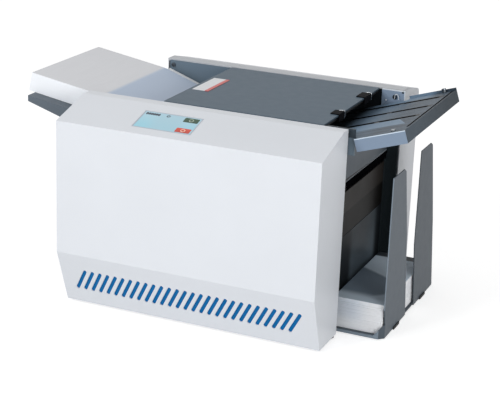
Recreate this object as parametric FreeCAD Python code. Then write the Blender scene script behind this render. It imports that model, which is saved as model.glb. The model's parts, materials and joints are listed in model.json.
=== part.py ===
import FreeCAD, Part

import math
import os

# Desktop paper folding machine. Millimetres and degrees, +Z up, +X the way the paper travels, +Y to the rear.
# Sizes are drawn from the front cover's left end (X), its front face (Y) and the floor (Z).
# The finished pieces are then moved in X and Y, so that the origin is under the middle of the whole machine.

# Covers
cover_length = 420.0
cover_depth = 103.0
cover_height = 323.0
cover_bottom = 5.0
cover_sheet = 1.5
strip_lean = 33.2
strip_top = 93.7
face_drop = 23.0
lip_depth = 19.0
lip_flange = 4.0
rear_cover_start = 4.0
channel_margin = 22.0
gear_case_depth = 87.0
rear_lip_depth = 22.0
rear_shoulder_drop = 15.0
rear_corner_radius = 12.0
cover_screw_inset = 20.0

# Vent slots in the leaning strip and the screen behind them
vent_count = 28
vent_first = 24.4
vent_last_gap = 25.18
vent_slant = 18.34
vent_low = 32.6
vent_high = 64.2
vent_width = 5.7
screen_sheet = 1.0
screen_margin = 8.0
fit_gap = 0.3

# Display in the slope
display_left = 116.0
display_length = 95.0
display_width = 49.0
display_low = 16.5
bezel_rim = 2.0
bezel_depth = 5.0
glass_thickness = 2.0
glass_sunk = 0.2

# Side frames, base and feet
frame_sheet = 3.0
frame_gap = 0.5
frame_left = 9.5
frame_right_gap = 2.0
frame_bottom = 10.0
frame_top_gap = 2.0
frame_right_drop = 23.0
frame_flange_depth = 7.0
frame_flange_drop = 61.0
base_sheet = 2.0
base_side_gap = 1.8
base_front_gap = 3.0
notch_front = 4.5
notch_rear = 9.0
foot_radius = 8.0
foot_inset = 10.0
front_foot_inset = 5.0
rear_foot_inset = 30.0
bar_inset = 30.0
bar_radius = 6.0

# Exit end
exit_back = 21.0
exit_sheet = 2.0
exit_side_gap = 7.5
panel_drop = 189.0
window_drop = 117.0
window_sheet = 3.0
panel_gap = 1.0
deflector_drop = 41.0
deflector_height = 58.0
deflector_sheet = 1.5
deflector_return = 14.0
brush_length = 10.0
brush_thickness = 3.0

# Paper and its stacks
paper_width = 216.0
feed_stack_height = 30.2
feed_stack_lean = 5.4
feed_stack_overhang = 11.0
delivered_length = 80.0
delivered_height = 48.0
delivered_side_gap = 2.0
delivered_step = 3.5
paper_clear = 0.3

# Feed tray and ramp
tray_reach = 112.0
tray_slope = 9.0
tray_drop = 23.0
tray_sheet = 1.5
tray_side_gap = 1.0
tray_lip = 9.5
tray_root_lip = 27.0
infeed_sheet = 1.5
infeed_overlap = 4.0
ramp_slope = 19.0
ramp_low = 140.0
ramp_end_back = 21.0
ramp_end_drop = 5.2
ramp_side_gap = 0.5
stack_lead = 145.0
stack_lead_back = 20.0

# Paper side guides
guide_start = 14.0
guide_length = 90.0
guide_sheet = 1.5
guide_height = 30.0
guide_flange = 8.0
guide_paper_gap = 1.0

# Top cover and its hinge
lid_start = 124.0
lid_end_back = 39.0
lid_sheet = 2.5
lid_skirt = 8.0
lid_side_gap = 0.8
hinge_back = 4.0
hinge_drop = 6.5
hinge_pin_radius = 2.0
running_gap = 0.05
clip_near_step = 54.0
clip_near_width = 22.0
clip_far_step = 64.5
clip_far_width = 29.0
clip_reach = 9.0
clip_wall = 1.5
clip_knuckle = 4.0
marker_start = 130.0
marker_length = 27.0
marker_step = 40.0
marker_width = 82.0
marker_thickness = 0.6

# Rollers: the nip of the first pair, and the angle of the upper fold plate, which the roller set follows
nip_back = 137.0
nip_drop = 63.8
fold_angle = 18.0
roller_gap = 0.3
journal_radius = 5.0
roller_end_gap = 3.0
bush_wall = 2.0
bush_flange = 2.0
journal_end = 3.0
seal_back = 33.0
seal_drop = 27.2
feed_x = 156.0
feed_proud = 0.5
feed_wheel_width = 18.0
feed_wheel_pitch = 60.0
feed_slot_length = 24.0
feed_slot_margin = 3.0
pad_length = 12.0
pad_width = 40.0
pad_gap = 0.5
pad_height = 9.0

# Gears and belts, behind the rear side frame
tooth_count = 20
tooth_module = 1.5
gear_width = 8.0
gear_gap = 4.0
tooth_backlash = 0.12
pressure_angle = 20.0
root_share = 1.25
flank_steps = 4
idler_stud_radius = 4.0
pulley_gap = 4.0
pulley_width = 9.0
pulley_flange = 1.0
pulley_flange_rise = 1.5
main_pulley_radius = 14.0
motor_pulley_radius = 8.0
feed_pulley_radius = 14.0
belt_thickness = 1.6
belt_gap = 0.3
belt_side_gap = 0.5
motor_back = 33.0
motor_z = 110.0
motor_radius = 28.0
motor_length = 70.0
motor_shaft_radius = 4.0
motor_bore_depth = 6.0

# Upper fold plate, in lengths along its slope (from the nip) and depths below its path line
plate_sheet = 1.5
slot_half = 2.0
plate_start = 18.0
plate_base_start = 48.0
plate_end = 226.7
plate_wide_start = 155.7
plate_depth = 19.0
plate_overhang = 4.0
plate_side_gap = 5.5
cap_gap = 3.5
cap_length = 3.5
cap_side_gap = 0.2
tongue_width = 27.0
far_rim_rise = 3.7
plate_slot_width = 9.5
slot_near_step = 29.0
slot_middle_step = 32.5
slot_far_step = 95.0
plate_slot_start = 60.0
plate_slot_end = 10.0
bracket_sheet = 2.5
bracket_back = 34.0
front_bracket_beyond = 9.4
rear_bracket_beyond = 4.2
bracket_foot_drop = 39.0
ledge_start = 108.0
ledge_end = 150.0
ledge_width = 9.0
ledge_thickness = 3.0
screw_radius = 2.2
screw_head_radius = 3.6
screw_head = 1.8
near_screw_back = 14.5
near_screw_inset = 13.0
far_screw_back = 11.5
far_screw_inset = 6.0
far_screw_head = 6.5
bracket_screw_back = 12.0
bracket_screw_drop = 11.0
rail_screw_x = 16.3
rail_screw_drop = 9.3

# Paper stops
stop_side_gap = 6.0
stop_gap = 0.3
stop_length = 8.0
upper_stop_place = 150.0
finger_rise = 1.3
finger_width = 7.0
lower_stop_share = 0.52

# Lower fold plate, below the second pair of rollers and above the base
lower_start = 49.0
lower_floor_gap = 36.0

# Catch tray
catch_start_gap = 3.0
catch_reach = 67.5
catch_front_step = 18.5
catch_rear_step = 12.0
catch_sheet = 1.5
catch_low = 1.0
catch_deck = 4.0
catch_wall = 40.0
catch_clear = 0.5
catch_inner_step = 13.5
catch_wall_short = 6.0
catch_corner = 8.0
gusset_length = 16.0
gusset_height = 18.0
front_upright_drop = 68.0
rear_upright_drop = 62.0
pad_foot_length = 10.0
pad_foot_width = 26.0
pad_foot_beyond = 2.0
pad_near_step = 48.5
pad_far_step = 183.5
front_upright_foot = 110.0
front_upright_bend = 50.0
front_upright_waist = 87.0
front_upright_waist_share = 0.557
rear_upright_foot = 100.0
rear_upright_lean = 19.0
rear_upright_bend = 110.0
rear_upright_waist = 94.0
rear_upright_waist_share = 0.48
upright_top_width = 59.0
upright_trim = 8.0
upright_trim_drop = 5.0

# Power and control
inlet_x = 60.0
inlet_z = 50.0
inlet_width = 28.0
inlet_height = 20.0
inlet_depth = 16.0
inlet_rim = 3.0
inlet_flange = 2.0
pin_radius = 1.0
pin_length = 10.0
pin_pitch = 7.0
pin_rise = 3.0
switch_x = 105.0
switch_width = 14.0
switch_height = 22.0
switch_depth = 12.0
switch_wall = 1.5
rocker_gap = 0.5
rocker_rise = 2.0
rocker_dish = 1.0
rocker_back = 5.0
rocker_back_half = 6.5
rocker_pivot_radius = 1.2
rocker_tilt = 6.0
board_left = 92.0
board_length = 150.0
board_low = 150.0
board_height = 90.0
board_thickness = 1.6
standoff = 8.0
standoff_radius = 3.0
board_inset = 6.0
chip_length = 30.0
chip_height = 6.0
supply_left = 60.0
supply_length = 150.0
supply_gap = 8.0
supply_depth = 45.0
supply_height = 50.0

# Worked out from the sizes above
overrun = cover_sheet
channel_width = paper_width + 2 * channel_margin
rear_inner = cover_depth + channel_width
machine_depth = rear_inner + gear_case_depth
face_top = cover_height - face_drop
slope_depth = cover_depth - lip_depth
rear_shoulder = cover_height - rear_shoulder_drop
vent_pitch = (cover_length - vent_first - vent_slant - vent_last_gap) / (vent_count - 1)
frame_right = cover_length - frame_right_gap
frame_top = cover_height - frame_top_gap
frame_right_top = cover_height - frame_right_drop
frame_flange_height = cover_height - frame_flange_drop
exit_plane = cover_length - exit_back
panel_top = cover_height - panel_drop
window_top = cover_height - window_drop
deflector_high = cover_height - deflector_drop
deflector_low = deflector_high - deflector_height
tray_high = cover_height - tray_drop
paper_centre = cover_depth + channel_width / 2
paper_front = paper_centre - paper_width / 2
paper_rear = paper_centre + paper_width / 2
front_frame_out = cover_depth + frame_gap
front_frame_in = front_frame_out + frame_sheet
rear_frame_out = rear_inner - frame_gap
rear_frame_in = rear_frame_out - frame_sheet
ramp_start_height = tray_high - (tray_reach + frame_left) * math.tan(math.radians(tray_slope))
ramp_low_height = ramp_start_height - (ramp_low - frame_left) * math.tan(math.radians(ramp_slope))
slope_angle = math.atan2(cover_height - face_top, slope_depth)
pitch_radius = tooth_count * tooth_module / 2
roller_radius = pitch_radius - roller_gap / 2
nip_x = cover_length - nip_back
nip_z = cover_height - nip_drop
ramp_end = nip_x - ramp_end_back
ramp_end_height = nip_z - ramp_end_drop
seal_x = exit_plane - seal_back
seal_nip_z = nip_z - seal_drop
motor_x = nip_x - motor_back
end_panel_front = front_frame_in
end_panel_rear = rear_frame_in - exit_side_gap
plate_top = slot_half + plate_sheet
plate_slot_places = [paper_centre - slot_near_step, paper_centre + slot_middle_step,
                     paper_centre + slot_far_step]
bracket_start = cover_length - bracket_back
bracket_ends = (cover_length + front_bracket_beyond, cover_length + rear_bracket_beyond)
bracket_foot_low = cover_height - bracket_foot_drop
bracket_screw_x = cover_length - bracket_screw_back
bracket_screw_z = cover_height - bracket_screw_drop
rail_screw_z = cover_height - rail_screw_drop
catch_start = exit_plane + catch_start_gap
catch_end = cover_length + catch_reach
catch_front = cover_depth + catch_front_step
catch_rear = rear_inner + catch_rear_step
catch_inner_rear = rear_inner - catch_inner_step
catch_deck_top = catch_deck + catch_sheet
pad_places = [catch_front + pad_near_step, catch_front + pad_far_step]
front_upright_height = cover_height - front_upright_drop
rear_upright_height = cover_height - rear_upright_drop
rear_upright_start = catch_rear - rear_upright_foot
supply_front = cover_depth - supply_depth - supply_gap
lid_end = cover_length - lid_end_back
clips = [(paper_centre - clip_near_step, clip_near_width), (paper_centre + clip_far_step, clip_far_width)]
marker_near = paper_centre - marker_step
hinge_x = lid_end - hinge_back
hinge_z = cover_height - hinge_drop


def at(x, y, z):
    return FreeCAD.Vector(x, y, z)


def box(x0, x1, y0, y1, z0, z1):
    return Part.makeBox(x1 - x0, y1 - y0, z1 - z0, at(x0, y0, z0))


def face_of(points):
    return Part.Face(Part.makePolygon(points + points[:1]))


def prism_y(outline, y0, y1):
    """An outline of (x, z) points, pulled along Y."""
    return face_of([at(x, y0, z) for x, z in outline]).extrude(at(0, y1 - y0, 0))


def prism_x(outline, x0, x1):
    """An outline of (y, z) points, pulled along X."""
    return face_of([at(x0, y, z) for y, z in outline]).extrude(at(x1 - x0, 0, 0))


def rod(x, z, radius, y0, y1):
    return Part.makeCylinder(radius, y1 - y0, at(x, y0, z), at(0, 1, 0))


def group(shapes):
    return Part.makeCompound(shapes)


def joined(shapes):
    return shapes[0].multiFuse(shapes[1:]).removeSplitter()


def cut(shape, tools):
    for tool in tools:
        shape = shape.cut(tool)
    return shape


def path_point(along, above):
    """The fold frame: along the upper fold plate from the first nip, and square above its path line."""
    turn = math.radians(fold_angle)
    x = nip_x + along * math.cos(turn) - above * math.sin(turn)
    z = nip_z + along * math.sin(turn) + above * math.cos(turn)
    return x, z


def path_box(along0, along1, above0, above1, y0, y1):
    corners = ((along0, above0), (along1, above0), (along1, above1), (along0, above1))
    return prism_y([path_point(along, above) for along, above in corners], y0, y1)


def on_ramp(x):
    """Height of the ramp's upper face at x: steep down to its low point, then gently up to the rollers."""
    if x < ramp_low:
        return ramp_start_height - (x - frame_left) * math.tan(math.radians(ramp_slope))
    rise = (ramp_end_height - ramp_low_height) / (ramp_end - ramp_low)
    return ramp_low_height + (x - ramp_low) * rise


# Where each roller's axis lies
fold_axes = [
    path_point(0, pitch_radius),
    path_point(0, -pitch_radius),
    path_point(2 * pitch_radius, -pitch_radius),
    path_point(2 * pitch_radius, -3 * pitch_radius),
]
seal_low_axis = (seal_x, seal_nip_z - pitch_radius)
seal_high_axis = (seal_x, seal_nip_z + pitch_radius)
feed_axis = (feed_x, on_ramp(feed_x) + feed_proud - roller_radius)


def idler_place():
    """The idler meets the last fold gear and the lower seal gear, below the line between them."""
    (x0, z0), (x1, z1) = fold_axes[3], seal_low_axis
    half = math.hypot(x1 - x0, z1 - z0) / 2
    drop = math.sqrt((2 * pitch_radius) ** 2 - half**2)
    ux = (x1 - x0) / (2 * half)
    uz = (z1 - z0) / (2 * half)
    return (x0 + x1) / 2 + uz * drop, (z0 + z1) / 2 - ux * drop


def lower_plate_end():
    """How far below the path line the lower fold plate ends, to leave its gap above the base."""
    turn = math.radians(fold_angle)
    end_height = frame_bottom + lower_floor_gap
    return (nip_z + pitch_radius * math.sin(turn) - end_height) / math.cos(turn)


idler_axis = idler_place()
lower_plate_high = -pitch_radius - lower_start
lower_plate_low = -lower_plate_end()
lower_stop_place = -lower_plate_high - (lower_plate_low - lower_plate_high) * lower_stop_share
shafts = fold_axes + [seal_low_axis, seal_high_axis, feed_axis]
gear_front = rear_frame_out + gear_gap
gear_back = gear_front + gear_width
drive_front = gear_back + pulley_gap
drive_back = drive_front + pulley_width
feed_front = drive_back
feed_back = feed_front + pulley_width


def front_cover_outline(inset):
    """The cover's side outline (y, z); inset moves the three outer walls inwards."""
    lean = math.atan2(strip_lean, strip_top - cover_bottom)
    low_y = strip_lean + inset / math.cos(lean)
    fold_z = strip_top + inset * math.tan(lean / 2)
    crease_z = face_top - inset * math.tan(slope_angle / 2)
    shoulder_y = slope_depth + inset * math.tan(slope_angle / 2)
    top = cover_height - inset
    below = overrun if inset else 0
    lean_y = low_y + below * math.tan(lean)
    foot = (lean_y, cover_bottom - below)
    back = cover_depth + below
    return [foot, (inset, fold_z), (inset, crease_z), (shoulder_y, top), (back, top), (back, cover_bottom - below)]


def vent_cutter(index, depth):
    """A slanted slot with round ends, cut along Y through the leaning strip."""
    x = vent_first + index * vent_pitch
    angle = math.atan2(vent_high - vent_low, vent_slant)
    side_x = vent_width / 2 * math.sin(angle)
    side_z = vent_width / 2 * math.cos(angle)
    low, high = (x, vent_low), (x + vent_slant, vent_high)
    corners = [
        at(low[0] + side_x, -overrun, low[1] - side_z),
        at(high[0] + side_x, -overrun, high[1] - side_z),
        at(high[0] - side_x, -overrun, high[1] + side_z),
        at(low[0] - side_x, -overrun, low[1] + side_z),
    ]
    slot = face_of(corners).extrude(at(0, depth, 0))
    ends = [rod(px, pz, vent_width / 2, -overrun, depth - overrun) for px, pz in (low, high)]
    return joined([slot] + ends)


def slope_block(inset, low, high):
    """A block on the slope over the display, from a depth below the slope to a height above it."""
    y0 = display_low + inset
    z0 = face_top + y0 * math.tan(slope_angle)
    block = Part.makeBox(display_length - 2 * inset, display_width - 2 * inset, high - low)
    block.translate(at(display_left + inset, 0, low))
    block.rotate(at(0, 0, 0), at(1, 0, 0), math.degrees(slope_angle))
    block.translate(at(0, y0, z0))
    return block


def front_cover():
    outer = prism_x(front_cover_outline(0), 0, cover_length)
    inner = prism_x(front_cover_outline(cover_sheet), cover_sheet, cover_length - cover_sheet)
    flange = box(cover_sheet, cover_length - cover_sheet, cover_depth - cover_sheet, cover_depth,
                 cover_height - lip_flange, cover_height - cover_sheet)
    slots = [vent_cutter(index, strip_lean + cover_sheet) for index in range(vent_count)]
    shell = joined([outer.cut(inner), flange])
    return cut(shell, slots + [slope_block(0, -2 * bezel_depth, bezel_depth)])


def strip_point(height, depth):
    """A point (y, z) on the leaning strip at a height, and a depth square behind its outer face."""
    lean = math.atan2(strip_lean, strip_top - cover_bottom)
    y = strip_lean * (strip_top - height) / (strip_top - cover_bottom)
    return y + depth * math.cos(lean), height + depth * math.sin(lean)


def vent_screen():
    near = cover_sheet + fit_gap
    low = vent_low - screen_margin
    high = vent_high + screen_margin
    outline = [strip_point(low, near), strip_point(high, near),
               strip_point(high, near + screen_sheet), strip_point(low, near + screen_sheet)]
    last = vent_first + (vent_count - 1) * vent_pitch + vent_slant
    return prism_x(outline, vent_first - screen_margin, last + screen_margin)


def display_bezel():
    outer = slope_block(fit_gap, -bezel_depth, 0)
    return outer.cut(slope_block(bezel_rim, -2 * bezel_depth, bezel_depth))


def touch_screen():
    return slope_block(bezel_rim + fit_gap, -glass_sunk - glass_thickness, -glass_sunk)


def control_board():
    """Board on four posts, with a row of chips, on the front of the front side frame."""
    back = front_frame_out - standoff
    front = back - board_thickness
    board = box(board_left, board_left + board_length, front, back, board_low, board_low + board_height)
    posts = []
    for x in (board_left + board_inset, board_left + board_length - board_inset):
        for z in (board_low + board_inset, board_low + board_height - board_inset):
            posts.append(rod(x, z, standoff_radius, back, front_frame_out))
    chips = []
    for index in range(3):
        x = board_left + board_inset + index * (chip_length + board_inset * 2)
        z = board_low + board_height / 2
        chips.append(box(x, x + chip_length, front - chip_height, front, z, z + chip_length))
    return joined([board] + posts + chips)


def rear_cover_outline(inset):
    """The rear cover's side outline as an edge list, with a round top rear corner."""
    top = cover_height - inset
    below = overrun if inset else 0
    start = rear_inner - below
    lip = rear_inner + rear_lip_depth
    back = machine_depth - inset
    shoulder = rear_shoulder - inset
    foot = cover_bottom - below
    return [(start, foot), (start, top), (lip, top), (back, shoulder), (back, foot)]


def rear_cover():
    outer = prism_x(rear_cover_outline(0), rear_cover_start, cover_length)
    inner = prism_x(rear_cover_outline(cover_sheet), rear_cover_start + cover_sheet, cover_length - cover_sheet)
    edges = [edge for edge in outer.Edges
             if abs(edge.BoundBox.YMin - machine_depth) < cover_sheet and edge.BoundBox.XLength > rear_lip_depth
             and edge.BoundBox.ZMin > rear_shoulder - cover_sheet]
    outer = outer.makeFillet(rear_corner_radius, edges)
    edges = [edge for edge in inner.Edges
             if abs(edge.BoundBox.YMin - machine_depth) < 2 * cover_sheet
             and edge.BoundBox.XLength > rear_lip_depth and edge.BoundBox.ZMin > rear_shoulder - 2 * cover_sheet]
    inner = inner.makeFillet(rear_corner_radius - cover_sheet, edges)
    flange = box(rear_cover_start + cover_sheet, cover_length - cover_sheet, rear_inner,
                 rear_inner + cover_sheet, cover_height - lip_flange, cover_height - cover_sheet)
    wall = (machine_depth - 2 * overrun, machine_depth + overrun)
    inlet = box(inlet_x - inlet_width / 2, inlet_x + inlet_width / 2, wall[0], wall[1],
                inlet_z - inlet_height / 2, inlet_z + inlet_height / 2)
    switch = box(switch_x - switch_width / 2, switch_x + switch_width / 2, wall[0], wall[1],
                 inlet_z - switch_height / 2, inlet_z + switch_height / 2)
    holes = [rod(x, z, screw_radius, wall[0], wall[1]) for x, z in rear_screw_places()]
    return cut(joined([outer.cut(inner), flange]), [inlet, switch] + holes)


def rear_screw_places():
    low = frame_bottom + cover_screw_inset
    high = rear_shoulder - 2 * cover_screw_inset
    left = rear_cover_start + cover_screw_inset
    right = cover_length - cover_screw_inset
    return [(left, low), (left, high), (right, low), (right, high)]


def side_frame(y0, y1):
    """A side plate, lower at its right end under the fold plate, with a round hole for every bush."""
    outline = [(frame_left, frame_bottom), (frame_right, frame_bottom), (frame_right, frame_right_top),
               (bracket_start, frame_right_top), (bracket_start, frame_top), (frame_left, frame_top)]
    holes = [rod(x, z, journal_radius + bush_wall, y0 - overrun, y1 + overrun) for x, z in shafts]
    return cut(prism_y(outline, y0, y1), holes)


def rear_side_frame():
    """The rear plate also carries the motor, the idler's stud and a flange that closes the exit corner."""
    plate = side_frame(rear_frame_in, rear_frame_out)
    shaft_hole = rod(motor_x, motor_z, motor_shaft_radius + frame_gap, rear_frame_in - overrun,
                     rear_frame_out + overrun)
    rail_hole = rod(rail_screw_x, rail_screw_z, screw_radius, rear_frame_in - overrun, rear_frame_out + overrun)
    flange = box(exit_plane - exit_sheet, exit_plane, rear_frame_in - frame_flange_depth, rear_frame_in,
                 frame_bottom, frame_flange_height)
    stud = rod(*idler_axis, idler_stud_radius, rear_frame_out, gear_back + running_gap)
    return joined([cut(plate, [shaft_hole, rail_hole]), flange, stud])


def base_plate():
    low = frame_bottom - base_sheet
    right = cover_length - base_side_gap
    front = box(base_side_gap, right, strip_lean + base_front_gap, cover_depth, low, frame_bottom)
    rear = box(rear_cover_start + base_side_gap, right, cover_depth, machine_depth - base_side_gap, low,
               frame_bottom)
    notch = box(exit_plane, right + overrun, front_frame_in + notch_front, rear_frame_in - notch_rear,
                low - overrun, frame_bottom + overrun)
    return joined([front, rear]).cut(notch)


def machine_feet():
    feet = []
    for x in (rear_cover_start + foot_inset + foot_radius, cover_length - foot_inset):
        for y in (cover_depth - front_foot_inset, machine_depth - rear_foot_inset):
            feet.append(Part.makeCylinder(foot_radius, frame_bottom - base_sheet, at(x, y, 0)))
    return group(feet)


def bar_places():
    """Cross bars: two low, one under the ramp, one over the separator pad, one beside the lower fold plate."""
    low = frame_bottom + bar_inset
    left = frame_left + bar_inset
    pad_top = feed_axis[1] + roller_radius + pad_gap + pad_height
    beside = pitch_radius - plate_top - bar_radius - fit_gap
    return [(left, low), (exit_plane - bar_inset / 2, low), (left, on_ramp(left) - 2 * bar_inset),
            (feed_x, pad_top + bar_radius), path_point(beside, -lower_stop_place)]


def cross_bars():
    return group([rod(x, z, bar_radius, front_frame_in, rear_frame_in) for x, z in bar_places()])


def infeed_panel():
    return box(frame_left - infeed_sheet, frame_left, cover_depth - infeed_overlap, rear_inner + infeed_overlap,
               frame_bottom, ramp_start_height)


def on_tray(x):
    return tray_high - (x + tray_reach) * math.tan(math.radians(tray_slope))


def feed_tray():
    """A sloping sheet with a turned-down lip along its outer end and both sides, deeper towards the machine."""
    left, right = -tray_reach, frame_left - infeed_sheet
    y0, y1 = cover_depth + tray_side_gap, rear_inner - tray_side_gap
    high, root = on_tray(left), on_tray(right)
    deck = prism_y([(left, high - tray_sheet), (right, root - tray_sheet), (right, root), (left, high)], y0, y1)
    side = [(left, high - tray_lip), (right, root - tray_root_lip), (right, root), (left, high)]
    end = box(left, left + tray_sheet, y0, y1, high - tray_lip, high - tray_sheet)
    return joined([deck, prism_y(side, y0, y0 + tray_sheet), prism_y(side, y1 - tray_sheet, y1), end])


def feed_wheel_places():
    return [paper_centre + step * feed_wheel_pitch for step in (-1, 0, 1)]


def feed_ramp():
    top = [(frame_left, ramp_start_height), (ramp_low, ramp_low_height), (ramp_end, ramp_end_height)]
    under = [(x, z - tray_sheet) for x, z in reversed(top)]
    ramp = prism_y(top + under, front_frame_in + ramp_side_gap, rear_frame_in - ramp_side_gap)
    half = feed_wheel_width / 2 + feed_slot_margin
    slots = [box(feed_x - feed_slot_length / 2, feed_x + feed_slot_length / 2, y - half, y + half,
                 ramp_low_height - roller_radius, ramp_end_height) for y in feed_wheel_places()]
    return cut(ramp, slots)


def paper_guide(side):
    """An upright sheet beside the stack, with a flange along its top and a foot on the ramp, both turned out."""
    start, end = guide_start, guide_start + guide_length
    foot = [(start, on_ramp(start) + paper_clear), (end, on_ramp(end) + paper_clear)]
    face = paper_centre + side * (paper_width / 2 + guide_paper_gap)
    pieces = []
    for low, high, reach in ((0, guide_height, guide_sheet), (0, guide_sheet, guide_flange),
                             (guide_height - guide_sheet, guide_height, guide_flange)):
        outline = [(foot[0][0], foot[0][1] + low), (foot[1][0], foot[1][1] + low),
                   (foot[1][0], foot[1][1] + high), (foot[0][0], foot[0][1] + high)]
        near, far = sorted((face, face + side * reach))
        pieces.append(prism_y(outline, near, far))
    return joined(pieces)


def feed_stack():
    """The loaded sheets: level with the tray, then down the ramp, with their leading edges fanned."""
    left = -tray_reach - feed_stack_overhang
    lead_top = stack_lead - stack_lead_back
    low = [(left, on_tray(left)), (frame_left, ramp_start_height), (ramp_low, ramp_low_height),
           (stack_lead, on_ramp(stack_lead))]
    high = [(lead_top, on_ramp(lead_top)), (frame_left, ramp_start_height),
            (left + feed_stack_lean, on_tray(left + feed_stack_lean))]
    outline = [(x, z + paper_clear) for x, z in low] + [(x, z + feed_stack_height) for x, z in high]
    return prism_y(outline, paper_front, paper_rear)


def top_cover():
    y0, y1 = front_frame_in + lid_side_gap, rear_frame_in - lid_side_gap
    low = cover_height - lid_sheet
    plate = box(lid_start, lid_end, y0, y1, low, cover_height)
    skirt = box(lid_start, lid_start + lid_sheet, y0, y1, cover_height - lid_skirt, low)
    return joined([plate, skirt])


def hinge_pin():
    return rod(hinge_x, hinge_z, hinge_pin_radius, front_frame_in, rear_frame_in)


def hinge_clips():
    """Clips that wrap the lid's edge and carry a knuckle round the pin."""
    pieces = []
    for y, width in clips:
        y0, y1 = y - width / 2, y + width / 2
        left, right = hinge_x - clip_reach, lid_end + clip_wall
        low = cover_height - lid_sheet
        block = box(left, right, y0, y1, hinge_z - clip_knuckle, cover_height + clip_wall)
        lid = box(left - overrun, lid_end, y0 - overrun, y1 + overrun, low, cover_height)
        under = box(left - overrun, hinge_x - clip_knuckle, y0 - overrun, y1 + overrun,
                    hinge_z - 2 * clip_knuckle, low)
        bore = rod(hinge_x, hinge_z, hinge_pin_radius + running_gap, y0 - overrun, y1 + overrun)
        pieces.append(cut(block, [lid, under, bore]))
    return group(pieces)


def marker_plate():
    return box(marker_start, marker_start + marker_length, marker_near, marker_near + marker_width,
               cover_height, cover_height + marker_thickness)


def roller(axis, rear_end):
    body = rod(*axis, roller_radius, front_frame_in + roller_end_gap, rear_frame_in - roller_end_gap)
    journal = rod(*axis, journal_radius, front_frame_out - journal_end, rear_end)
    return joined([body, journal])


def feed_roller():
    """One shaft with three friction wheels that reach through the ramp."""
    half = feed_wheel_width / 2
    wheels = [rod(*feed_axis, roller_radius, y - half, y + half) for y in feed_wheel_places()]
    shaft = rod(*feed_axis, journal_radius, front_frame_out - journal_end, feed_back)
    return joined([shaft] + wheels)


def roller_bushes():
    """A flanged bush in each frame hole, with its flange on the frame's outer face."""
    bushes = []
    for x, z in shafts:
        for inner, outer, out in ((front_frame_in, front_frame_out, -1), (rear_frame_in, rear_frame_out, 1)):
            y0, y1 = sorted((inner, outer))
            rim0, rim1 = sorted((outer, outer + out * bush_flange))
            sleeve = rod(x, z, journal_radius + bush_wall, y0, y1)
            rim = rod(x, z, journal_radius + 2 * bush_wall, rim0, rim1)
            bore = rod(x, z, journal_radius + running_gap, y0 - overrun - bush_flange, y1 + overrun + bush_flange)
            bushes.append(joined([sleeve, rim]).cut(bore))
    return group(bushes)


def separator_pad():
    """Friction pad over the middle feed wheel, held in a saddle round its bar."""
    x, z = bar_places()[3]
    low = feed_axis[1] + roller_radius + pad_gap
    pad = box(feed_x - pad_length / 2, feed_x + pad_length / 2, paper_centre - pad_width / 2,
              paper_centre + pad_width / 2, low, z)
    return pad.cut(rod(x, z, bar_radius + fit_gap, front_frame_in, rear_frame_in))


def involute(angle):
    return math.tan(angle) - angle


def tooth_flank():
    """Points (radius, half the tooth's angle) from the base circle to the tip of an involute tooth."""
    base = pitch_radius * math.cos(math.radians(pressure_angle))
    tip = pitch_radius + tooth_module
    at_pitch = math.pi / (2 * tooth_count) - tooth_backlash / pitch_radius
    flank = []
    for step in range(flank_steps + 1):
        radius = base + (tip - base) * step / flank_steps
        turned = involute(math.radians(pressure_angle)) - involute(math.acos(base / radius))
        flank.append((radius, at_pitch + turned))
    return flank


def gear(axis, phase, bore):
    """A spur gear whose first tooth points at the phase angle, measured from +X towards +Z."""
    x, z = axis
    root = pitch_radius - root_share * tooth_module
    flank = tooth_flank()
    tooth = [(root, -flank[0][1])] + [(radius, -half) for radius, half in flank]
    tooth += [(radius, half) for radius, half in reversed(flank)] + [(root, flank[0][1])]
    outline = []
    for index in range(tooth_count):
        centre = phase + index * 2 * math.pi / tooth_count
        outline += [(x + radius * math.cos(centre + turn), z + radius * math.sin(centre + turn))
                    for radius, turn in tooth]
    return prism_y(outline, gear_front, gear_back).cut(rod(x, z, bore, gear_front - overrun, gear_back + overrun))


def mesh_phase(driver, follower, phase):
    """The follower's phase that puts its gap on the driver's tooth, for two like gears."""
    pitch = 2 * math.pi / tooth_count
    angle = math.atan2(follower[1] - driver[1], follower[0] - driver[0])
    share = ((angle - phase) / pitch) % 1
    return angle + math.pi + (share - 1 / 2) * pitch


def gear_train():
    """One gear on each fold roller, the idler, and one on each seal roller, each in mesh with the one before."""
    axes = fold_axes + [idler_axis, seal_low_axis, seal_high_axis]
    names = ["fold_gear_1", "fold_gear_2", "fold_gear_3", "fold_gear_4", "idler_gear", "seal_gear_lower",
             "seal_gear_upper"]
    phase = 0
    gears = {}
    for index, (name, axis) in enumerate(zip(names, axes)):
        if index:
            phase = mesh_phase(axes[index - 1], axis, phase)
        bore = idler_stud_radius + running_gap if name == "idler_gear" else journal_radius
        gears[name] = gear(axis, phase, bore)
    return gears


def pulley(axis, radius, y0, y1):
    """A plain drum between two flanges."""
    drum = rod(*axis, radius, y0, y1)
    rims = [rod(*axis, radius + pulley_flange_rise, y, y + pulley_flange) for y in (y0, y1 - pulley_flange)]
    return joined([drum] + rims)


def main_pulley():
    """Two tracks side by side: the drive belt's and the feed belt's."""
    axis = fold_axes[1]
    tracks = joined([pulley(axis, main_pulley_radius, drive_front, drive_back),
                     pulley(axis, main_pulley_radius, feed_front, feed_back)])
    return tracks.cut(rod(*axis, journal_radius, drive_front - overrun, feed_back + overrun))


def feed_pulley():
    drum = pulley(feed_axis, feed_pulley_radius, feed_front, feed_back)
    return drum.cut(rod(*feed_axis, journal_radius, feed_front - overrun, feed_back + overrun))


def motor_pulley():
    """The motor's pulley on its shaft, which starts inside the motor's nose."""
    axis = (motor_x, motor_z)
    shaft = rod(*axis, motor_shaft_radius, rear_frame_in - motor_bore_depth + running_gap, drive_back)
    return joined([pulley(axis, motor_pulley_radius, drive_front, drive_back), shaft])


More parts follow.
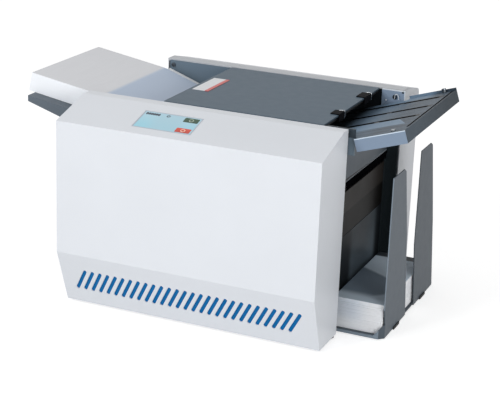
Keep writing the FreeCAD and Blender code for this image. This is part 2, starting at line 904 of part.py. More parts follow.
def drive_motor():
    body = rod(motor_x, motor_z, motor_radius, rear_frame_in - motor_length, rear_frame_in)
    bore = rod(motor_x, motor_z, motor_shaft_radius + running_gap, rear_frame_in - motor_bore_depth,
               rear_frame_in + overrun)
    return body.cut(bore)


def round_both(first, first_radius, second, second_radius, y0, y1):
    """The solid inside a tight loop round two circles."""
    (x0, z0), (x1, z1) = first, second
    lean = math.atan2(z1 - z0, x1 - x0)
    side = math.acos((first_radius - second_radius) / math.hypot(x1 - x0, z1 - z0))
    outline = [(x0 + first_radius * math.cos(lean + side), z0 + first_radius * math.sin(lean + side)),
               (x1 + second_radius * math.cos(lean + side), z1 + second_radius * math.sin(lean + side)),
               (x1 + second_radius * math.cos(lean - side), z1 + second_radius * math.sin(lean - side)),
               (x0 + first_radius * math.cos(lean - side), z0 + first_radius * math.sin(lean - side))]
    return joined([prism_y(outline, y0, y1), rod(x0, z0, first_radius, y0, y1), rod(x1, z1, second_radius, y0, y1)])


def belt(first, first_radius, second, second_radius, y0, y1):
    y0 += pulley_flange + belt_side_gap
    y1 -= pulley_flange + belt_side_gap
    out = belt_gap + belt_thickness
    outer = round_both(first, first_radius + out, second, second_radius + out, y0, y1)
    inner = round_both(first, first_radius + belt_gap, second, second_radius + belt_gap,
                       y0 - overrun, y1 + overrun)
    return outer.cut(inner)


def drive_belt():
    return belt((motor_x, motor_z), motor_pulley_radius, fold_axes[1], main_pulley_radius, drive_front, drive_back)


def feed_belt():
    return belt(feed_axis, feed_pulley_radius, fold_axes[1], main_pulley_radius, feed_front, feed_back)


plate_y = (front_frame_in + plate_side_gap, rear_frame_in - plate_side_gap)
plate_wide_y = (cover_depth - plate_overhang, rear_inner + plate_overhang)
cap_end = plate_end + cap_gap + cap_length
stop_y = (plate_y[0] + stop_side_gap, plate_y[1] - stop_side_gap)


def upper_fold_plate():
    """A flat box open along its path: slotted top sheet, bottom sheet, side strips, and flanges where it is wide."""
    y0, y1 = plate_y
    wide0, wide1 = plate_wide_y
    pieces = [path_box(plate_start, plate_wide_start, slot_half, plate_top, y0, y1),
              path_box(plate_wide_start, plate_end, slot_half, plate_top, wide0, wide1),
              path_box(plate_base_start, plate_end, -plate_top, -slot_half, y0, y1)]
    for near, far in ((y0, y0 + plate_sheet), (y1 - plate_sheet, y1)):
        pieces.append(path_box(plate_base_start, plate_end, -plate_top, plate_top, near, far))
    for near, far, rim in ((wide0, wide0 + plate_sheet, 0), (wide1 - plate_sheet, wide1, far_rim_rise)):
        pieces.append(path_box(plate_wide_start, cap_end, plate_top - plate_depth, plate_top + rim, near, far))
    pieces.append(path_box(plate_end, cap_end - plate_sheet - fit_gap, slot_half, plate_top, wide0,
                           wide0 + tongue_width))
    half = plate_slot_width / 2
    slots = [path_box(plate_slot_start, plate_end - plate_slot_end, 0, plate_top + overrun, y - half, y + half)
             for y in plate_slot_places]
    holes = [plate_screw(back, y, screw_radius, slot_half - overrun / 2, plate_top + overrun)
             for back, y, head in plate_screw_places()]
    return cut(joined(pieces), slots + holes)


def plate_screw_places():
    """How far back from the plate's end each screw is, its place across, and the height of its head."""
    return [(near_screw_back, plate_wide_y[0] + near_screw_inset, screw_head),
            (far_screw_back, plate_wide_y[1] - far_screw_inset, far_screw_head)]


def plate_screw(back, y, radius, low, high):
    """A cylinder square to the upper fold plate, between two heights above its path line."""
    x0, z0 = path_point(plate_end - back, low)
    x1, z1 = path_point(plate_end - back, high)
    return Part.makeCylinder(radius, high - low, at(x0, y, z0), at(x1 - x0, 0, z1 - z0))


def upper_plate_end_cap():
    """A channel that closes the plate's outer end between its flanges, with a gap before it."""
    near, far = plate_wide_y[0] + plate_sheet + cap_side_gap, plate_wide_y[1] - plate_sheet - cap_side_gap
    start = plate_end + cap_gap
    low = plate_top - plate_depth
    block = path_box(start, cap_end, low, plate_top, near, far)
    hollow = path_box(start - overrun, cap_end - plate_sheet, low - overrun, plate_top - plate_sheet,
                      near + plate_sheet, far - plate_sheet)
    notch = path_box(start - overrun, cap_end - plate_sheet, slot_half - fit_gap, plate_top + overrun,
                     near - overrun, plate_wide_y[0] + tongue_width + fit_gap)
    return cut(block, [hollow, notch])


def upper_paper_stop():
    """A bar across the slot, with a finger in each slot of the top sheet."""
    half = slot_half - stop_gap
    start, end = upper_stop_place, upper_stop_place + stop_length
    pieces = [path_box(start, end, -half, half, *stop_y)]
    for y in plate_slot_places:
        pieces.append(path_box(start, end, half, half + finger_rise, y - finger_width / 2, y + finger_width / 2))
    return joined(pieces)


def lower_fold_plate():
    """Two sheets a paper gap apart, hanging below the second nip, joined by strips at both sides."""
    low, high = lower_plate_low, lower_plate_high
    y0, y1 = plate_y
    left, right = pitch_radius - plate_top, pitch_radius + plate_top
    pieces = [path_box(left, left + plate_sheet, low, high, y0, y1),
              path_box(right - plate_sheet, right, low, high, y0, y1)]
    for near, far in ((y0, y0 + plate_sheet), (y1 - plate_sheet, y1)):
        pieces.append(path_box(left, right, low, high, near, far))
    return joined(pieces)


def lower_paper_stop():
    half = slot_half - stop_gap
    return path_box(pitch_radius - half, pitch_radius + half, -lower_stop_place - stop_length, -lower_stop_place,
                    *stop_y)


def fold_plate_brackets():
    """One upright sheet on each side frame, with a ledge that the fold plate lies on."""
    brackets = []
    for face, inward, end in ((front_frame_in, 1, bracket_ends[0]), (rear_frame_in, -1, bracket_ends[1])):
        y0, y1 = sorted((face, face + inward * bracket_sheet))
        sheet = box(bracket_start, end, y0, y1, bracket_foot_low, cover_height)
        near, far = sorted((face, face + inward * ledge_width))
        ledge = path_box(ledge_start, ledge_end, -plate_top - ledge_thickness, -plate_top, near, far)
        hole = rod(bracket_screw_x, bracket_screw_z, screw_radius, y0 - overrun, y1 + overrun)
        brackets.append(joined([sheet, ledge]).cut(hole))
    return group(brackets)


def screw_y(x, z, face, outward, grip):
    """A screw along Y: its head stands outward on a face, its shank fills the hole behind."""
    head0, head1 = sorted((face, face + outward * screw_head))
    shank0, shank1 = sorted((face, face - outward * grip))
    return joined([rod(x, z, screw_head_radius, head0, head1), rod(x, z, screw_radius, shank0, shank1)])


def screws():
    pieces = [screw_y(bracket_screw_x, bracket_screw_z, rear_frame_in - bracket_sheet, -1, bracket_sheet),
              screw_y(bracket_screw_x, bracket_screw_z, front_frame_in + bracket_sheet, 1, bracket_sheet),
              screw_y(rail_screw_x, rail_screw_z, rear_frame_in, -1, frame_sheet)]
    for x, z in rear_screw_places():
        pieces.append(screw_y(x, z, machine_depth, 1, cover_sheet))
    for back, y, rise in plate_screw_places():
        head = plate_screw(back, y, screw_head_radius, plate_top, plate_top + rise)
        pieces.append(joined([head, plate_screw(back, y, screw_radius, slot_half, plate_top)]))
    return group(pieces)


def exit_deflector():
    """A hanging sheet over the exit slot, with its top turned inwards."""
    x0 = exit_plane + panel_gap
    x1 = x0 + deflector_sheet
    y0, y1 = end_panel_front + fit_gap, end_panel_rear
    sheet = box(x0, x1, y0, y1, deflector_low, deflector_high)
    turned = box(x0 - deflector_return, x0, y0, y1, deflector_high - deflector_sheet, deflector_high)
    return joined([sheet, turned])


def exit_brush():
    x0 = exit_plane + panel_gap
    return box(x0, x0 + brush_thickness, end_panel_front + fit_gap, end_panel_rear,
               deflector_low - brush_length, deflector_low)


def exit_window():
    return box(exit_plane - window_sheet, exit_plane, end_panel_front + fit_gap, end_panel_rear,
               panel_top + panel_gap, window_top)


def exit_panel():
    return box(exit_plane - exit_sheet, exit_plane, end_panel_front + fit_gap, end_panel_rear,
               frame_bottom, panel_top)


def upright(outline):
    return prism_x(outline, catch_end - catch_sheet, catch_end)


def upright_head(side, width, height):
    """The upper corners of an upright, with its outer corner trimmed off."""
    return [(side + width, height - upright_trim_drop), (side + width - upright_trim, height), (side, height)]


def catch_corner_sheet(low, front_top, side_top):
    """The sheet across the tray's front outer corner, rising from the lip to the upright."""
    front, side = catch_front, catch_front + catch_corner
    left = catch_end - catch_corner
    inward = catch_sheet * math.sqrt(0.5)
    face = face_of([at(left, front, low), at(catch_end, side, low), at(catch_end, side, side_top),
                    at(left, front, front_top)])
    return face.extrude(at(-inward, inward, 0))


def catch_tray():
    """A bent sheet: deck, front lip with its corner gusset, low rear wall and two tall uprights."""
    front, rear = catch_front, catch_rear
    low, deck, top = catch_low, catch_deck, catch_deck_top
    beyond = cover_length + catch_clear
    bend = catch_end - catch_corner
    plan = face_of([at(catch_start, front, deck), at(bend, front, deck), at(catch_end, front + catch_corner, deck),
                    at(catch_end, catch_inner_rear, deck), at(catch_start, catch_inner_rear, deck)])
    bend_rise = gusset_height * (gusset_length - catch_corner) / gusset_length
    gusset = [(catch_end - gusset_length, deck), (bend, deck), (bend, top + bend_rise),
              (catch_end - gusset_length, top)]
    pieces = [plan.extrude(at(0, 0, catch_sheet)),
              box(beyond, catch_end, catch_inner_rear - overrun, rear, deck, top),
              box(catch_start, bend, front, front + catch_sheet, low, top),
              prism_y(gusset, front, front + catch_sheet),
              catch_corner_sheet(low, top + bend_rise, top + gusset_height),
              box(beyond, catch_end - catch_wall_short, rear - catch_sheet, rear, low, catch_wall)]
    height = front_upright_height
    pieces.append(upright([(front + catch_corner, low), (front + front_upright_foot, low),
                           (front + front_upright_waist, height * front_upright_waist_share)]
                          + upright_head(front, upright_top_width, height)
                          + [(front, front_upright_bend), (front + catch_corner, top + gusset_height)]))
    height = rear_upright_height
    side = rear_upright_start - rear_upright_lean
    pieces.append(upright([(rear_upright_start, low), (rear, low),
                           (side + rear_upright_waist, height * rear_upright_waist_share)]
                          + upright_head(side, upright_top_width, height) + [(side, rear_upright_bend)]))
    return joined(pieces)


def tray_feet():
    """Rubber pads under the deck: the outer ones reach round the lower edge of the uprights."""
    pads = []
    slot = (catch_end - catch_sheet - fit_gap, catch_end + fit_gap)
    for y in pad_places:
        pads.append(box(catch_start + catch_sheet, catch_start + catch_sheet + pad_foot_length,
                        y, y + pad_foot_width, 0, catch_deck))
        pad = box(catch_end - pad_foot_length, catch_end + pad_foot_beyond, y, y + pad_foot_width, 0, catch_deck)
        pads.append(pad.cut(box(*slot, y - overrun, y + pad_foot_width + overrun, catch_low - fit_gap,
                                catch_deck + overrun)))
    return group(pads)


def delivered_stack():
    right = catch_end - catch_sheet - delivered_side_gap
    low = catch_deck_top + paper_clear
    near, far = paper_front + delivered_step, paper_rear + delivered_step
    return box(right - delivered_length, right, near, far, low, low + delivered_height)


def power_inlet():
    """Mains socket with three pins and the switch's housing, on one flange outside the rear cover."""
    y1 = machine_depth
    left = inlet_x - inlet_width / 2 - inlet_rim
    right = switch_x + switch_width / 2 + inlet_rim
    high = max(inlet_height, switch_height) / 2 + inlet_rim
    flange = box(left, right, y1, y1 + inlet_flange, inlet_z - high, inlet_z + high)
    half_x, half_z = inlet_width / 2 - fit_gap, inlet_height / 2 - fit_gap
    socket = box(inlet_x - half_x, inlet_x + half_x, y1 - inlet_depth, y1, inlet_z - half_z, inlet_z + half_z)
    mouth = box(inlet_x - half_x + switch_wall, inlet_x + half_x - switch_wall, y1 - inlet_depth + switch_wall,
                y1 + inlet_flange + overrun, inlet_z - half_z + switch_wall, inlet_z + half_z - switch_wall)
    side_x, side_z = switch_width / 2 - fit_gap, switch_height / 2 - fit_gap
    housing = box(switch_x - side_x, switch_x + side_x, y1 - switch_depth, y1, inlet_z - side_z, inlet_z + side_z)
    well = box(switch_x - side_x + switch_wall, switch_x + side_x - switch_wall, y1 - switch_depth + switch_wall,
               y1 + inlet_flange + overrun, inlet_z - side_z + switch_wall, inlet_z + side_z - switch_wall)
    pivot = Part.makeCylinder(rocker_pivot_radius + running_gap, switch_width, at(switch_x - switch_width / 2,
                              machine_depth, inlet_z), at(1, 0, 0))
    shell = cut(joined([flange, socket, housing]), [mouth, well, pivot])
    pins = []
    for step, rise in ((-1, 0), (0, 1), (1, 0)):
        pins.append(rod(inlet_x + step * pin_pitch, inlet_z + rise * pin_rise, pin_radius,
                        y1 - inlet_depth, y1 - inlet_depth + pin_length))
    return joined([shell] + pins)


def power_switch():
    """Rocker with a dished face, tilted to its off side, on two short pivots along X."""
    half_x = switch_width / 2 - fit_gap - switch_wall - rocker_gap
    half_z = switch_height / 2 - fit_gap - switch_wall - rocker_gap
    outline = [(-rocker_back, -rocker_back_half), (rocker_rise, -half_z), (rocker_rise - rocker_dish, 0),
               (rocker_rise, half_z), (-rocker_back, rocker_back_half)]
    body = prism_x(outline, -half_x, half_x)
    reach = half_x + rocker_gap + switch_wall / 2
    pivot = Part.makeCylinder(rocker_pivot_radius, 2 * reach, at(-reach, 0, 0), at(1, 0, 0))
    rocker = joined([body, pivot])
    rocker.rotate(at(0, 0, 0), at(1, 0, 0), rocker_tilt)
    rocker.translate(at(switch_x, machine_depth, inlet_z))
    return rocker


def power_supply():
    return box(supply_left, supply_left + supply_length, supply_front, supply_front + supply_depth,
               frame_bottom, frame_bottom + supply_height)


def all_pieces():
    pieces = {
        "front_cover": front_cover(), "vent_screen": vent_screen(), "display_bezel": display_bezel(),
        "touch_screen": touch_screen(), "control_board": control_board(), "rear_cover": rear_cover(),
        "front_side_frame": side_frame(front_frame_out, front_frame_in), "rear_side_frame": rear_side_frame(),
        "base_plate": base_plate(), "cross_bars": cross_bars(), "machine_feet": machine_feet(),
        "infeed_panel": infeed_panel(), "feed_tray": feed_tray(), "feed_ramp": feed_ramp(),
        "front_paper_guide": paper_guide(-1), "rear_paper_guide": paper_guide(1), "feed_stack": feed_stack(),
        "top_cover": top_cover(), "hinge_clips": hinge_clips(), "hinge_pin": hinge_pin(),
        "marker_plate": marker_plate(), "upper_fold_plate": upper_fold_plate(),
        "upper_plate_end_cap": upper_plate_end_cap(), "screws": screws(), "upper_paper_stop": upper_paper_stop(),
        "fold_plate_brackets": fold_plate_brackets(), "lower_fold_plate": lower_fold_plate(),
        "lower_paper_stop": lower_paper_stop(), "feed_roller": feed_roller(), "feed_pulley": feed_pulley(),
        "separator_pad": separator_pad(), "seal_roller_lower": roller(seal_low_axis, gear_back),
        "seal_roller_upper": roller(seal_high_axis, gear_back), "roller_bushes": roller_bushes(),
        "exit_deflector": exit_deflector(), "exit_brush": exit_brush(), "exit_window": exit_window(),
        "exit_panel": exit_panel(), "catch_tray": catch_tray(), "tray_feet": tray_feet(),
        "delivered_stack": delivered_stack(), "drive_motor": drive_motor(), "motor_pulley": motor_pulley(),
        "main_pulley": main_pulley(), "drive_belt": drive_belt(), "feed_belt": feed_belt(),
        "power_supply": power_supply(), "power_inlet": power_inlet(), "power_switch": power_switch(),
    }
    shaft_ends = [gear_back, feed_back, gear_back, gear_back]
    for index, (axis, rear_end) in enumerate(zip(fold_axes, shaft_ends)):
        pieces[f"fold_roller_{index + 1}"] = roller(axis, rear_end)
    pieces.update(gear_train())
    return pieces


def main():
    """Builds every piece and moves the origin under the middle of the whole machine."""
    pieces = all_pieces()
    limits = group(list(pieces.values())).BoundBox
    shift = at(-limits.Center.x, -limits.Center.y, 0)
    os.makedirs("parts", exist_ok=True)
    for name, shape in pieces.items():
        shape.translate(shift)
        shape.exportStep(f"parts/{name}.step")
    print("shift", round(shift.x, 3), round(shift.y, 3), "size", round(limits.XLength, 2),
          round(limits.YLength, 2), round(limits.ZMax, 2), "pieces", len(pieces))


main()
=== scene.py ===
import json
import math
import random

import bmesh
import bpy
from mathutils import Matrix, Vector


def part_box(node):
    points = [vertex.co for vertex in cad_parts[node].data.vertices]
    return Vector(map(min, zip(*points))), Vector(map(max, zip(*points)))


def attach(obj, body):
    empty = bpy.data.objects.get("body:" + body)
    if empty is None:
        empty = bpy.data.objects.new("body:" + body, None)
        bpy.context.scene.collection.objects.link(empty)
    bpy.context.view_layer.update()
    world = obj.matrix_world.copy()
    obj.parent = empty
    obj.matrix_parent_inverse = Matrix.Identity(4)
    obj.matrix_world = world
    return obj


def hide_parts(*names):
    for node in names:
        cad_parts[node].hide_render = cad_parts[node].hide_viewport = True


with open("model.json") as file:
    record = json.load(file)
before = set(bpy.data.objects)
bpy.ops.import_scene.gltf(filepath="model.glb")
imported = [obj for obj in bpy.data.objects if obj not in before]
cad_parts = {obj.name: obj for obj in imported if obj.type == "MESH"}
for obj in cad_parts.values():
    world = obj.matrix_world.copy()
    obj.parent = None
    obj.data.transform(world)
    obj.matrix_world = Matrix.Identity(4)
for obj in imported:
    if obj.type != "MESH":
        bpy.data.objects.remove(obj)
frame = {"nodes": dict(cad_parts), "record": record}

bl_info = {
    "name": "Paper Folding Machine",
    "version": (1, 0, 0),
    "blender": (4, 5, 0),
    "location": "View3D > Sidebar > Folder",
    "description": "Finishes and fine detail for a desktop paper folding machine",
    "category": "Object",
}

# Sizes and places are in millimetres, measured as in at(), where metres aren't named
MM = 0.001
NODES = frame["nodes"]

# Sockets of a colour mix node
MIX_SHARE = 0
MIX_FIRST = 6
MIX_SECOND = 7
MIX_RESULT = 2

# Edges bent further than this are rounded
SHARP = math.radians(30.0)

# Near blacks: what is black itself, and the painted shade of slots, hollows and gaps
SOOT = (0.003, 0.003, 0.004)
GAP_SHADE = (0.004, 0.004, 0.005)


def bodies_by_node():
    """The body that each CAD node rides on."""
    groups = frame["record"]["behaviour"]["bodies"]
    return {node: body for body, nodes in groups.items() for node in nodes}


BODY = bodies_by_node()


def colour_property(name, description, value):
    return bpy.props.FloatVectorProperty(name=name, description=description, subtype="COLOR", size=3,
                                         min=0.0, max=1.0, default=value)


def length_property(name, description, millimetres):
    return bpy.props.FloatProperty(name=name, description=description, unit="LENGTH", subtype="DISTANCE",
                                   default=millimetres * MM)


def angle_property(name, description, degrees):
    return bpy.props.FloatProperty(name=name, description=description, subtype="ANGLE",
                                   default=math.radians(degrees))


def amount_property(name, description, value, low=0.0, high=1000.0):
    return bpy.props.FloatProperty(name=name, description=description, default=value, min=low, max=high)


def count_property(name, description, value, low, high):
    return bpy.props.IntProperty(name=name, description=description, default=value, min=low, max=high)


class FolderColours(bpy.types.PropertyGroup):
    """Paints, papers and plastics of the machine."""

    cover: colour_property("Covers", "Powder coat of the front and rear covers", (0.750, 0.778, 0.822))
    lid: colour_property("Lid", "Paint of the top cover", (0.088, 0.128, 0.168))
    frame_paint: colour_property("Frames", "Paint of the side frames and brackets", (0.140, 0.190, 0.240))
    tray: colour_property("Trays", "Paint of the feed tray and the catch tray", (0.094, 0.115, 0.138))
    plate: colour_property("Fold plate", "Lacquer of the upper fold plate", (0.054, 0.079, 0.108))
    # Painted light: this pale tone stands for the light on the fold plate's front flange and on the rear
    # bracket
    lit_flange: colour_property("Flange", "Pale front flange of the upper fold plate", (0.215, 0.280, 0.375))
    cap: colour_property("End cap", "Paint of the fold plate's end cap", (0.060, 0.082, 0.105))
    vent: colour_property("Vent screen", "Bright sheet behind the vent slots", (0.0, 0.155, 0.43))
    paper: colour_property("Paper", "Loaded and folded sheets", (0.79, 0.80, 0.83))
    screen_top: colour_property("Screen, upper part", "Lit screen at its upper edge", (0.55, 0.80, 0.92))
    screen_foot: colour_property("Screen, lower part", "Lit screen at its lower edge", (0.42, 0.78, 0.92))
    start_key: colour_property("Start key", "Dark green key on the screen", (0.008, 0.070, 0.025))
    stop_key: colour_property("Stop key", "Orange-red key on the screen", (0.72, 0.060, 0.022))
    marker_edge: colour_property("Marker edge", "Red edge of the plate on the lid", (0.62, 0.055, 0.040))
    window: colour_property("Window", "Smoked exit window", (0.024, 0.021, 0.019))
    panel: colour_property("Exit panel", "Dark panel under the window", (0.010, 0.013, 0.016))
    rubber: colour_property("Rubber", "Feet and belts", (0.014, 0.014, 0.015))


class FolderSizes(bpy.types.PropertyGroup):
    """Small shapes that are added to the CAD pieces."""

    bend: length_property("Sheet bends", "Radius along the bends of the covers", 1.2)
    edge: length_property("Sheet edges", "Broken edge of painted sheet pieces", 0.35)
    sheets: count_property("Feed layers", "Layers drawn in the loaded stack", 54, 8, 120)
    folded: count_property("Folded sheets", "Folded sheets in the catch tray", 30, 6, 80)
    bristle: length_property("Bristles", "Length of the exit brush's bristles", 17.0)
    bristle_width: length_property("Bristle width", "Width of one bunch of bristles at its root", 1.5)


class FolderStage(bpy.types.PropertyGroup):
    """Camera, lamps and floor."""

    camera_place: bpy.props.FloatVectorProperty(name="Camera", description="Where the camera stands",
                                                subtype="TRANSLATION", unit="LENGTH", size=3,
                                                default=(0.8654, -2.0107, 0.8828))
    yaw: angle_property("Yaw", "Turn of the view to the left of +Y", 22.635)
    pitch: angle_property("Pitch", "Downward tilt of the view", 18.678)
    roll: angle_property("Roll", "Roll of the camera", 2.275)
    lens: amount_property("Lens", "Focal length for a 36 mm wide sensor, in millimetres", 104.1, 20.0, 300.0)
    key: amount_property("Key lamp", "Strength of the large lamp at the front, in watts", 42.0)
    fill: amount_property("Fill lamp", "Strength of the lamp at the right, in watts", 27.0)
    around: amount_property("Surroundings", "Strength of the even light from all sides", 0.50)


def settings():
    """The colours, the sizes and the stage that the panel shows."""
    scene = bpy.context.scene
    return scene.folder_colours, scene.folder_sizes, scene.folder_stage


class Wire:
    """A socket of a material. Sums, products and comparisons of wires add their Math nodes."""

    def __init__(self, finish, socket):
        self.finish = finish
        self.socket = socket

    def maths(self, operation, first, second=0.0):
        return self.finish.node("ShaderNodeMath", {"operation": operation}, {0: first, 1: second})

    def __add__(self, other):
        return self.maths("ADD", self, other)

    def __sub__(self, other):
        return self.maths("SUBTRACT", self, other)

    def __rsub__(self, other):
        return self.maths("SUBTRACT", other, self)

    def __mul__(self, other):
        return self.maths("MULTIPLY", self, other)

    def __lt__(self, other):
        return self.maths("LESS_THAN", self, other)

    def __gt__(self, other):
        return self.maths("GREATER_THAN", self, other)

    def __abs__(self):
        return self.maths("ABSOLUTE", self)

    __radd__ = __add__
    __rmul__ = __mul__

    def either(self, other):
        return self.maths("MAXIMUM", self, other)

    def ramp(self, low, high):
        """0 below low and 1 above high, smooth between them."""
        return self.finish.node("ShaderNodeMapRange", {"interpolation_type": "SMOOTHSTEP"},
                                {"Value": self, "From Min": low, "From Max": high})

    def band(self, centre, half, soft):
        """1 within half of centre, fading out over soft."""
        return 1 - abs(self - centre).ramp(half, half + soft)


class Shading:
    """The nodes of one material or of the world."""

    def __init__(self, tree):
        self.nodes = tree.nodes
        self.links = tree.links

    def feed(self, socket, value):
        if isinstance(value, Wire):
            self.links.new(value.socket, socket)
        elif isinstance(value, (tuple, list)) and socket.type == "RGBA":
            socket.default_value = (*value[:3], 1.0)
        else:
            socket.default_value = value

    def node(self, kind, settings, values, output=0):
        """Adds a node with its settings and the values or wires of its sockets, and gives one output."""
        made = self.nodes.new(kind)
        for key, value in settings.items():
            setattr(made, key, value)
        for key, value in values.items():
            self.feed(made.inputs[key], value)
        return Wire(self, made.outputs[output])

    def seen(self):
        """1 for what the camera, a gloss or a glass sees directly, and 0 for light on other things."""
        direct = self.node("ShaderNodeLightPath", {}, {}, "Is Camera Ray")
        gloss = self.node("ShaderNodeLightPath", {}, {}, "Is Glossy Ray")
        glass = self.node("ShaderNodeLightPath", {}, {}, "Is Transmission Ray")
        return direct.either(gloss).either(glass)


class Finish(Shading):
    """One material of the machine: a Principled shader and the nodes that feed it."""

    def __init__(self, name, colour, roughness, **sockets):
        self.tone = tuple(colour)
        self.material = bpy.data.materials.new(name)
        self.material.use_nodes = True
        self.material.diffuse_color = (*self.tone, 1.0)
        tree = self.material.node_tree
        super().__init__(tree)
        self.shader = next(made for made in tree.nodes if made.type == "BSDF_PRINCIPLED")
        self.set(Base_Color=self.tone, Roughness=roughness, **sockets)
        self.spot = self.node("ShaderNodeTexCoord", {}, {}, "Object")

    def set(self, **sockets):
        for socket, value in sockets.items():
            self.feed(self.shader.inputs[socket.replace("_", " ")], value)
        return self

    def along(self, axis):
        """The place along X, Y or Z at rest, in metres."""
        return self.node("ShaderNodeSeparateXYZ", {}, {"Vector": self.spot}, axis)

    def past(self, axis, place):
        """1 beyond a place in millimetres, measured as in at()."""
        return self.along(axis) > coordinate(axis, place)

    def before(self, axis, place):
        """1 before a place in millimetres, measured as in at()."""
        return self.along(axis) < coordinate(axis, place)

    def within(self, axis, low, high):
        """1 between two places in millimetres."""
        return self.past(axis, low) * self.before(axis, high)

    def rise(self, axis, low, high):
        """0 before low and 1 beyond high, in millimetres, smooth between them."""
        return self.along(axis).ramp(coordinate(axis, low), coordinate(axis, high))

    def stripe(self, axis, centre, half, soft):
        """1 within half of centre along an axis, fading out over soft, all in millimetres."""
        return self.along(axis).band(coordinate(axis, centre), half * MM, soft * MM)

    def mix(self, share, first, second):
        sockets = {MIX_SHARE: share, MIX_FIRST: first, MIX_SECOND: second}
        return self.node("ShaderNodeMix", {"data_type": "RGBA"}, sockets, MIX_RESULT)

    def noise(self, size, detail=2.0, scale=(1.0, 1.0, 1.0), turn=(0.0, 0.0, 0.0)):
        """Noise from 0 to 1 with features of about that many millimetres, longer where scale is small."""
        place = self.node("ShaderNodeMapping", {}, {"Vector": self.spot, "Rotation": turn, "Scale": scale})
        sockets = {"Vector": place, "Scale": 1.0 / (size * MM), "Detail": detail}
        return self.node("ShaderNodeTexNoise", {}, sockets, "Fac")

    def bumpy(self, height, depth):
        """Feeds Normal from a height of 0 to 1 that stands for a depth in millimetres."""
        bump = self.node("ShaderNodeBump", {}, {"Height": height, "Distance": depth * MM, "Strength": 1.0})
        return self.set(Normal=bump)


def shade(colour, factor):
    return tuple(min(1.0, part * factor) for part in colour)


def powder_coat(name, colour, roughness=0.42, gloss=0.20):
    """Sheet metal paint: faint clouds of tone, a fine orange peel and dusting that changes the gloss."""
    finish = Finish(name, colour, roughness, Specular_IOR_Level=gloss)
    clouds = finish.noise(90, 3.0)
    grain = finish.noise(0.9, 2.0)
    dust = finish.noise(14, 4.0)
    tone = finish.mix(clouds, shade(colour, 0.975), shade(colour, 1.025))
    finish.tone = finish.mix(grain * 0.10, tone, shade(colour, 0.82))
    finish.set(Base_Color=finish.tone, Roughness=(dust - 0.5) * 0.12 + (grain - 0.5) * 0.08 + roughness)
    return finish.bumpy(grain, 0.012)


def brushed(name, colour, roughness, scale, turn=(0.0, 0.0, 0.0), metallic=1.0, contrast=0.18):
    """Metal with long fine scratches; scale is small along the strokes."""
    finish = Finish(name, colour, roughness, Metallic=metallic)
    strokes = finish.noise(1.6, 4.0, scale, turn)
    wide = finish.noise(30, 2.0)
    tone = finish.mix(strokes, shade(colour, 1 - contrast), shade(colour, 1 + contrast))
    tone = finish.mix(wide * 0.25, tone, shade(colour, 0.8))
    finish.set(Base_Color=tone, Roughness=strokes * 0.16 + (roughness - 0.06))
    return finish.bumpy(strokes, 0.02)


def moulded(name, colour, roughness=0.55, depth=0.02, size=0.6, gloss=0.5):
    """Moulded plastic or rubber with a fine even grain, sized in millimetres, and a faint bloom."""
    finish = Finish(name, colour, roughness, Specular_IOR_Level=gloss)
    grain = finish.noise(size, 3.0)
    bloom = finish.noise(20, 3.0)
    tone = finish.mix(bloom * 0.4, shade(colour, 0.85), shade(colour, 1.35))
    finish.set(Base_Color=tone, Roughness=(grain - 0.5) * 0.14 + roughness)
    return finish.bumpy(grain, depth)


def dress(finish, *nodes, edge=0.0, segments=2):
    """Gives CAD pieces their finish, and rounds their sharp edges by edge so that they catch the light."""
    for node in nodes:
        materials = NODES[node].data.materials
        materials.clear()
        materials.append(finish.material)
        if edge:
            bevel = NODES[node].modifiers.new("edges", "BEVEL")
            bevel.width = edge
            bevel.segments = segments
            bevel.limit_method = "ANGLE"
            bevel.angle_limit = SHARP
            bevel.harden_normals = False


def in_scene(name, data):
    """A new object in the scene."""
    made = bpy.data.objects.new(name, data)
    bpy.context.scene.collection.objects.link(made)
    return made


def riding(name, data, finish, body):
    """A new object that rides on a body, with its finish and material slot."""
    piece = in_scene(name, data)
    data.materials.append(finish.material)
    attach(piece, body)
    return piece


def new_piece(name, fill, body, finish):
    """A mesh in the row frame made by fill(bm), riding on a body, with its finish and material slot."""
    bm = bmesh.new()
    fill(bm)
    bmesh.ops.recalc_face_normals(bm, faces=bm.faces)
    mesh = bpy.data.meshes.new(name)
    bm.to_mesh(mesh)
    bm.free()
    return riding(name, mesh, finish, body)


def add_prism(bm, outline, offset):
    """A closed solid: an outline of points and the same outline moved by offset."""
    near = [bm.verts.new(point) for point in outline]
    far = [bm.verts.new(Vector(point) + Vector(offset)) for point in outline]
    bm.faces.new(near)
    bm.faces.new(list(reversed(far)))
    for index in range(len(near)):
        after = (index + 1) % len(near)
        bm.faces.new((near[index], far[index], far[after], near[after]))


def add_block(bm, low, high):
    """A block between two corners."""
    outline = [(x, low.y, z) for x, z in ((low.x, low.z), (high.x, low.z), (high.x, high.z), (low.x, high.z))]
    add_prism(bm, outline, (0.0, high.y - low.y, 0.0))


def add_layer(bm, outline, front, rear):
    """A layer with an outline of X and Z in millimetres, from front to rear along Y."""
    add_prism(bm, [at(x, front, z) for x, z in outline], Vector((0, (rear - front) * MM, 0)))


def bent_wire(name, points, radius, finish, body):
    """A round wire that bends softly through points given in millimetres."""
    line = bpy.data.curves.new(name, "CURVE")
    line.dimensions = "3D"
    line.bevel_depth = radius * MM
    line.bevel_resolution = 2
    run = line.splines.new("NURBS")
    run.points.add(len(points) - 1)
    for point, place in zip(run.points, points):
        point.co = (*at(*place), 1.0)
    run.order_u = 3
    run.use_endpoint_u = True
    riding(name, line, finish, body)


CORNER = Vector((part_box("front_cover")[0].x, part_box("front_cover")[0].y, 0.0))

# Places in millimetres, measured as in at(), and the two slopes of the machine
SLOPE_FOOT = 300.0
SLOPE = math.atan2(23.0, 84.0)
SCREEN_LEFT = 116.0
SCREEN_FRONT = 16.5
FOLD = math.radians(18.0)
PATH_START = 283.0
PATH_HEIGHT = 259.2


def at(x, y, z):
    """A point given in millimetres from the front cover's left end, its front face and the floor."""
    return CORNER + Vector((x, y, z)) * MM


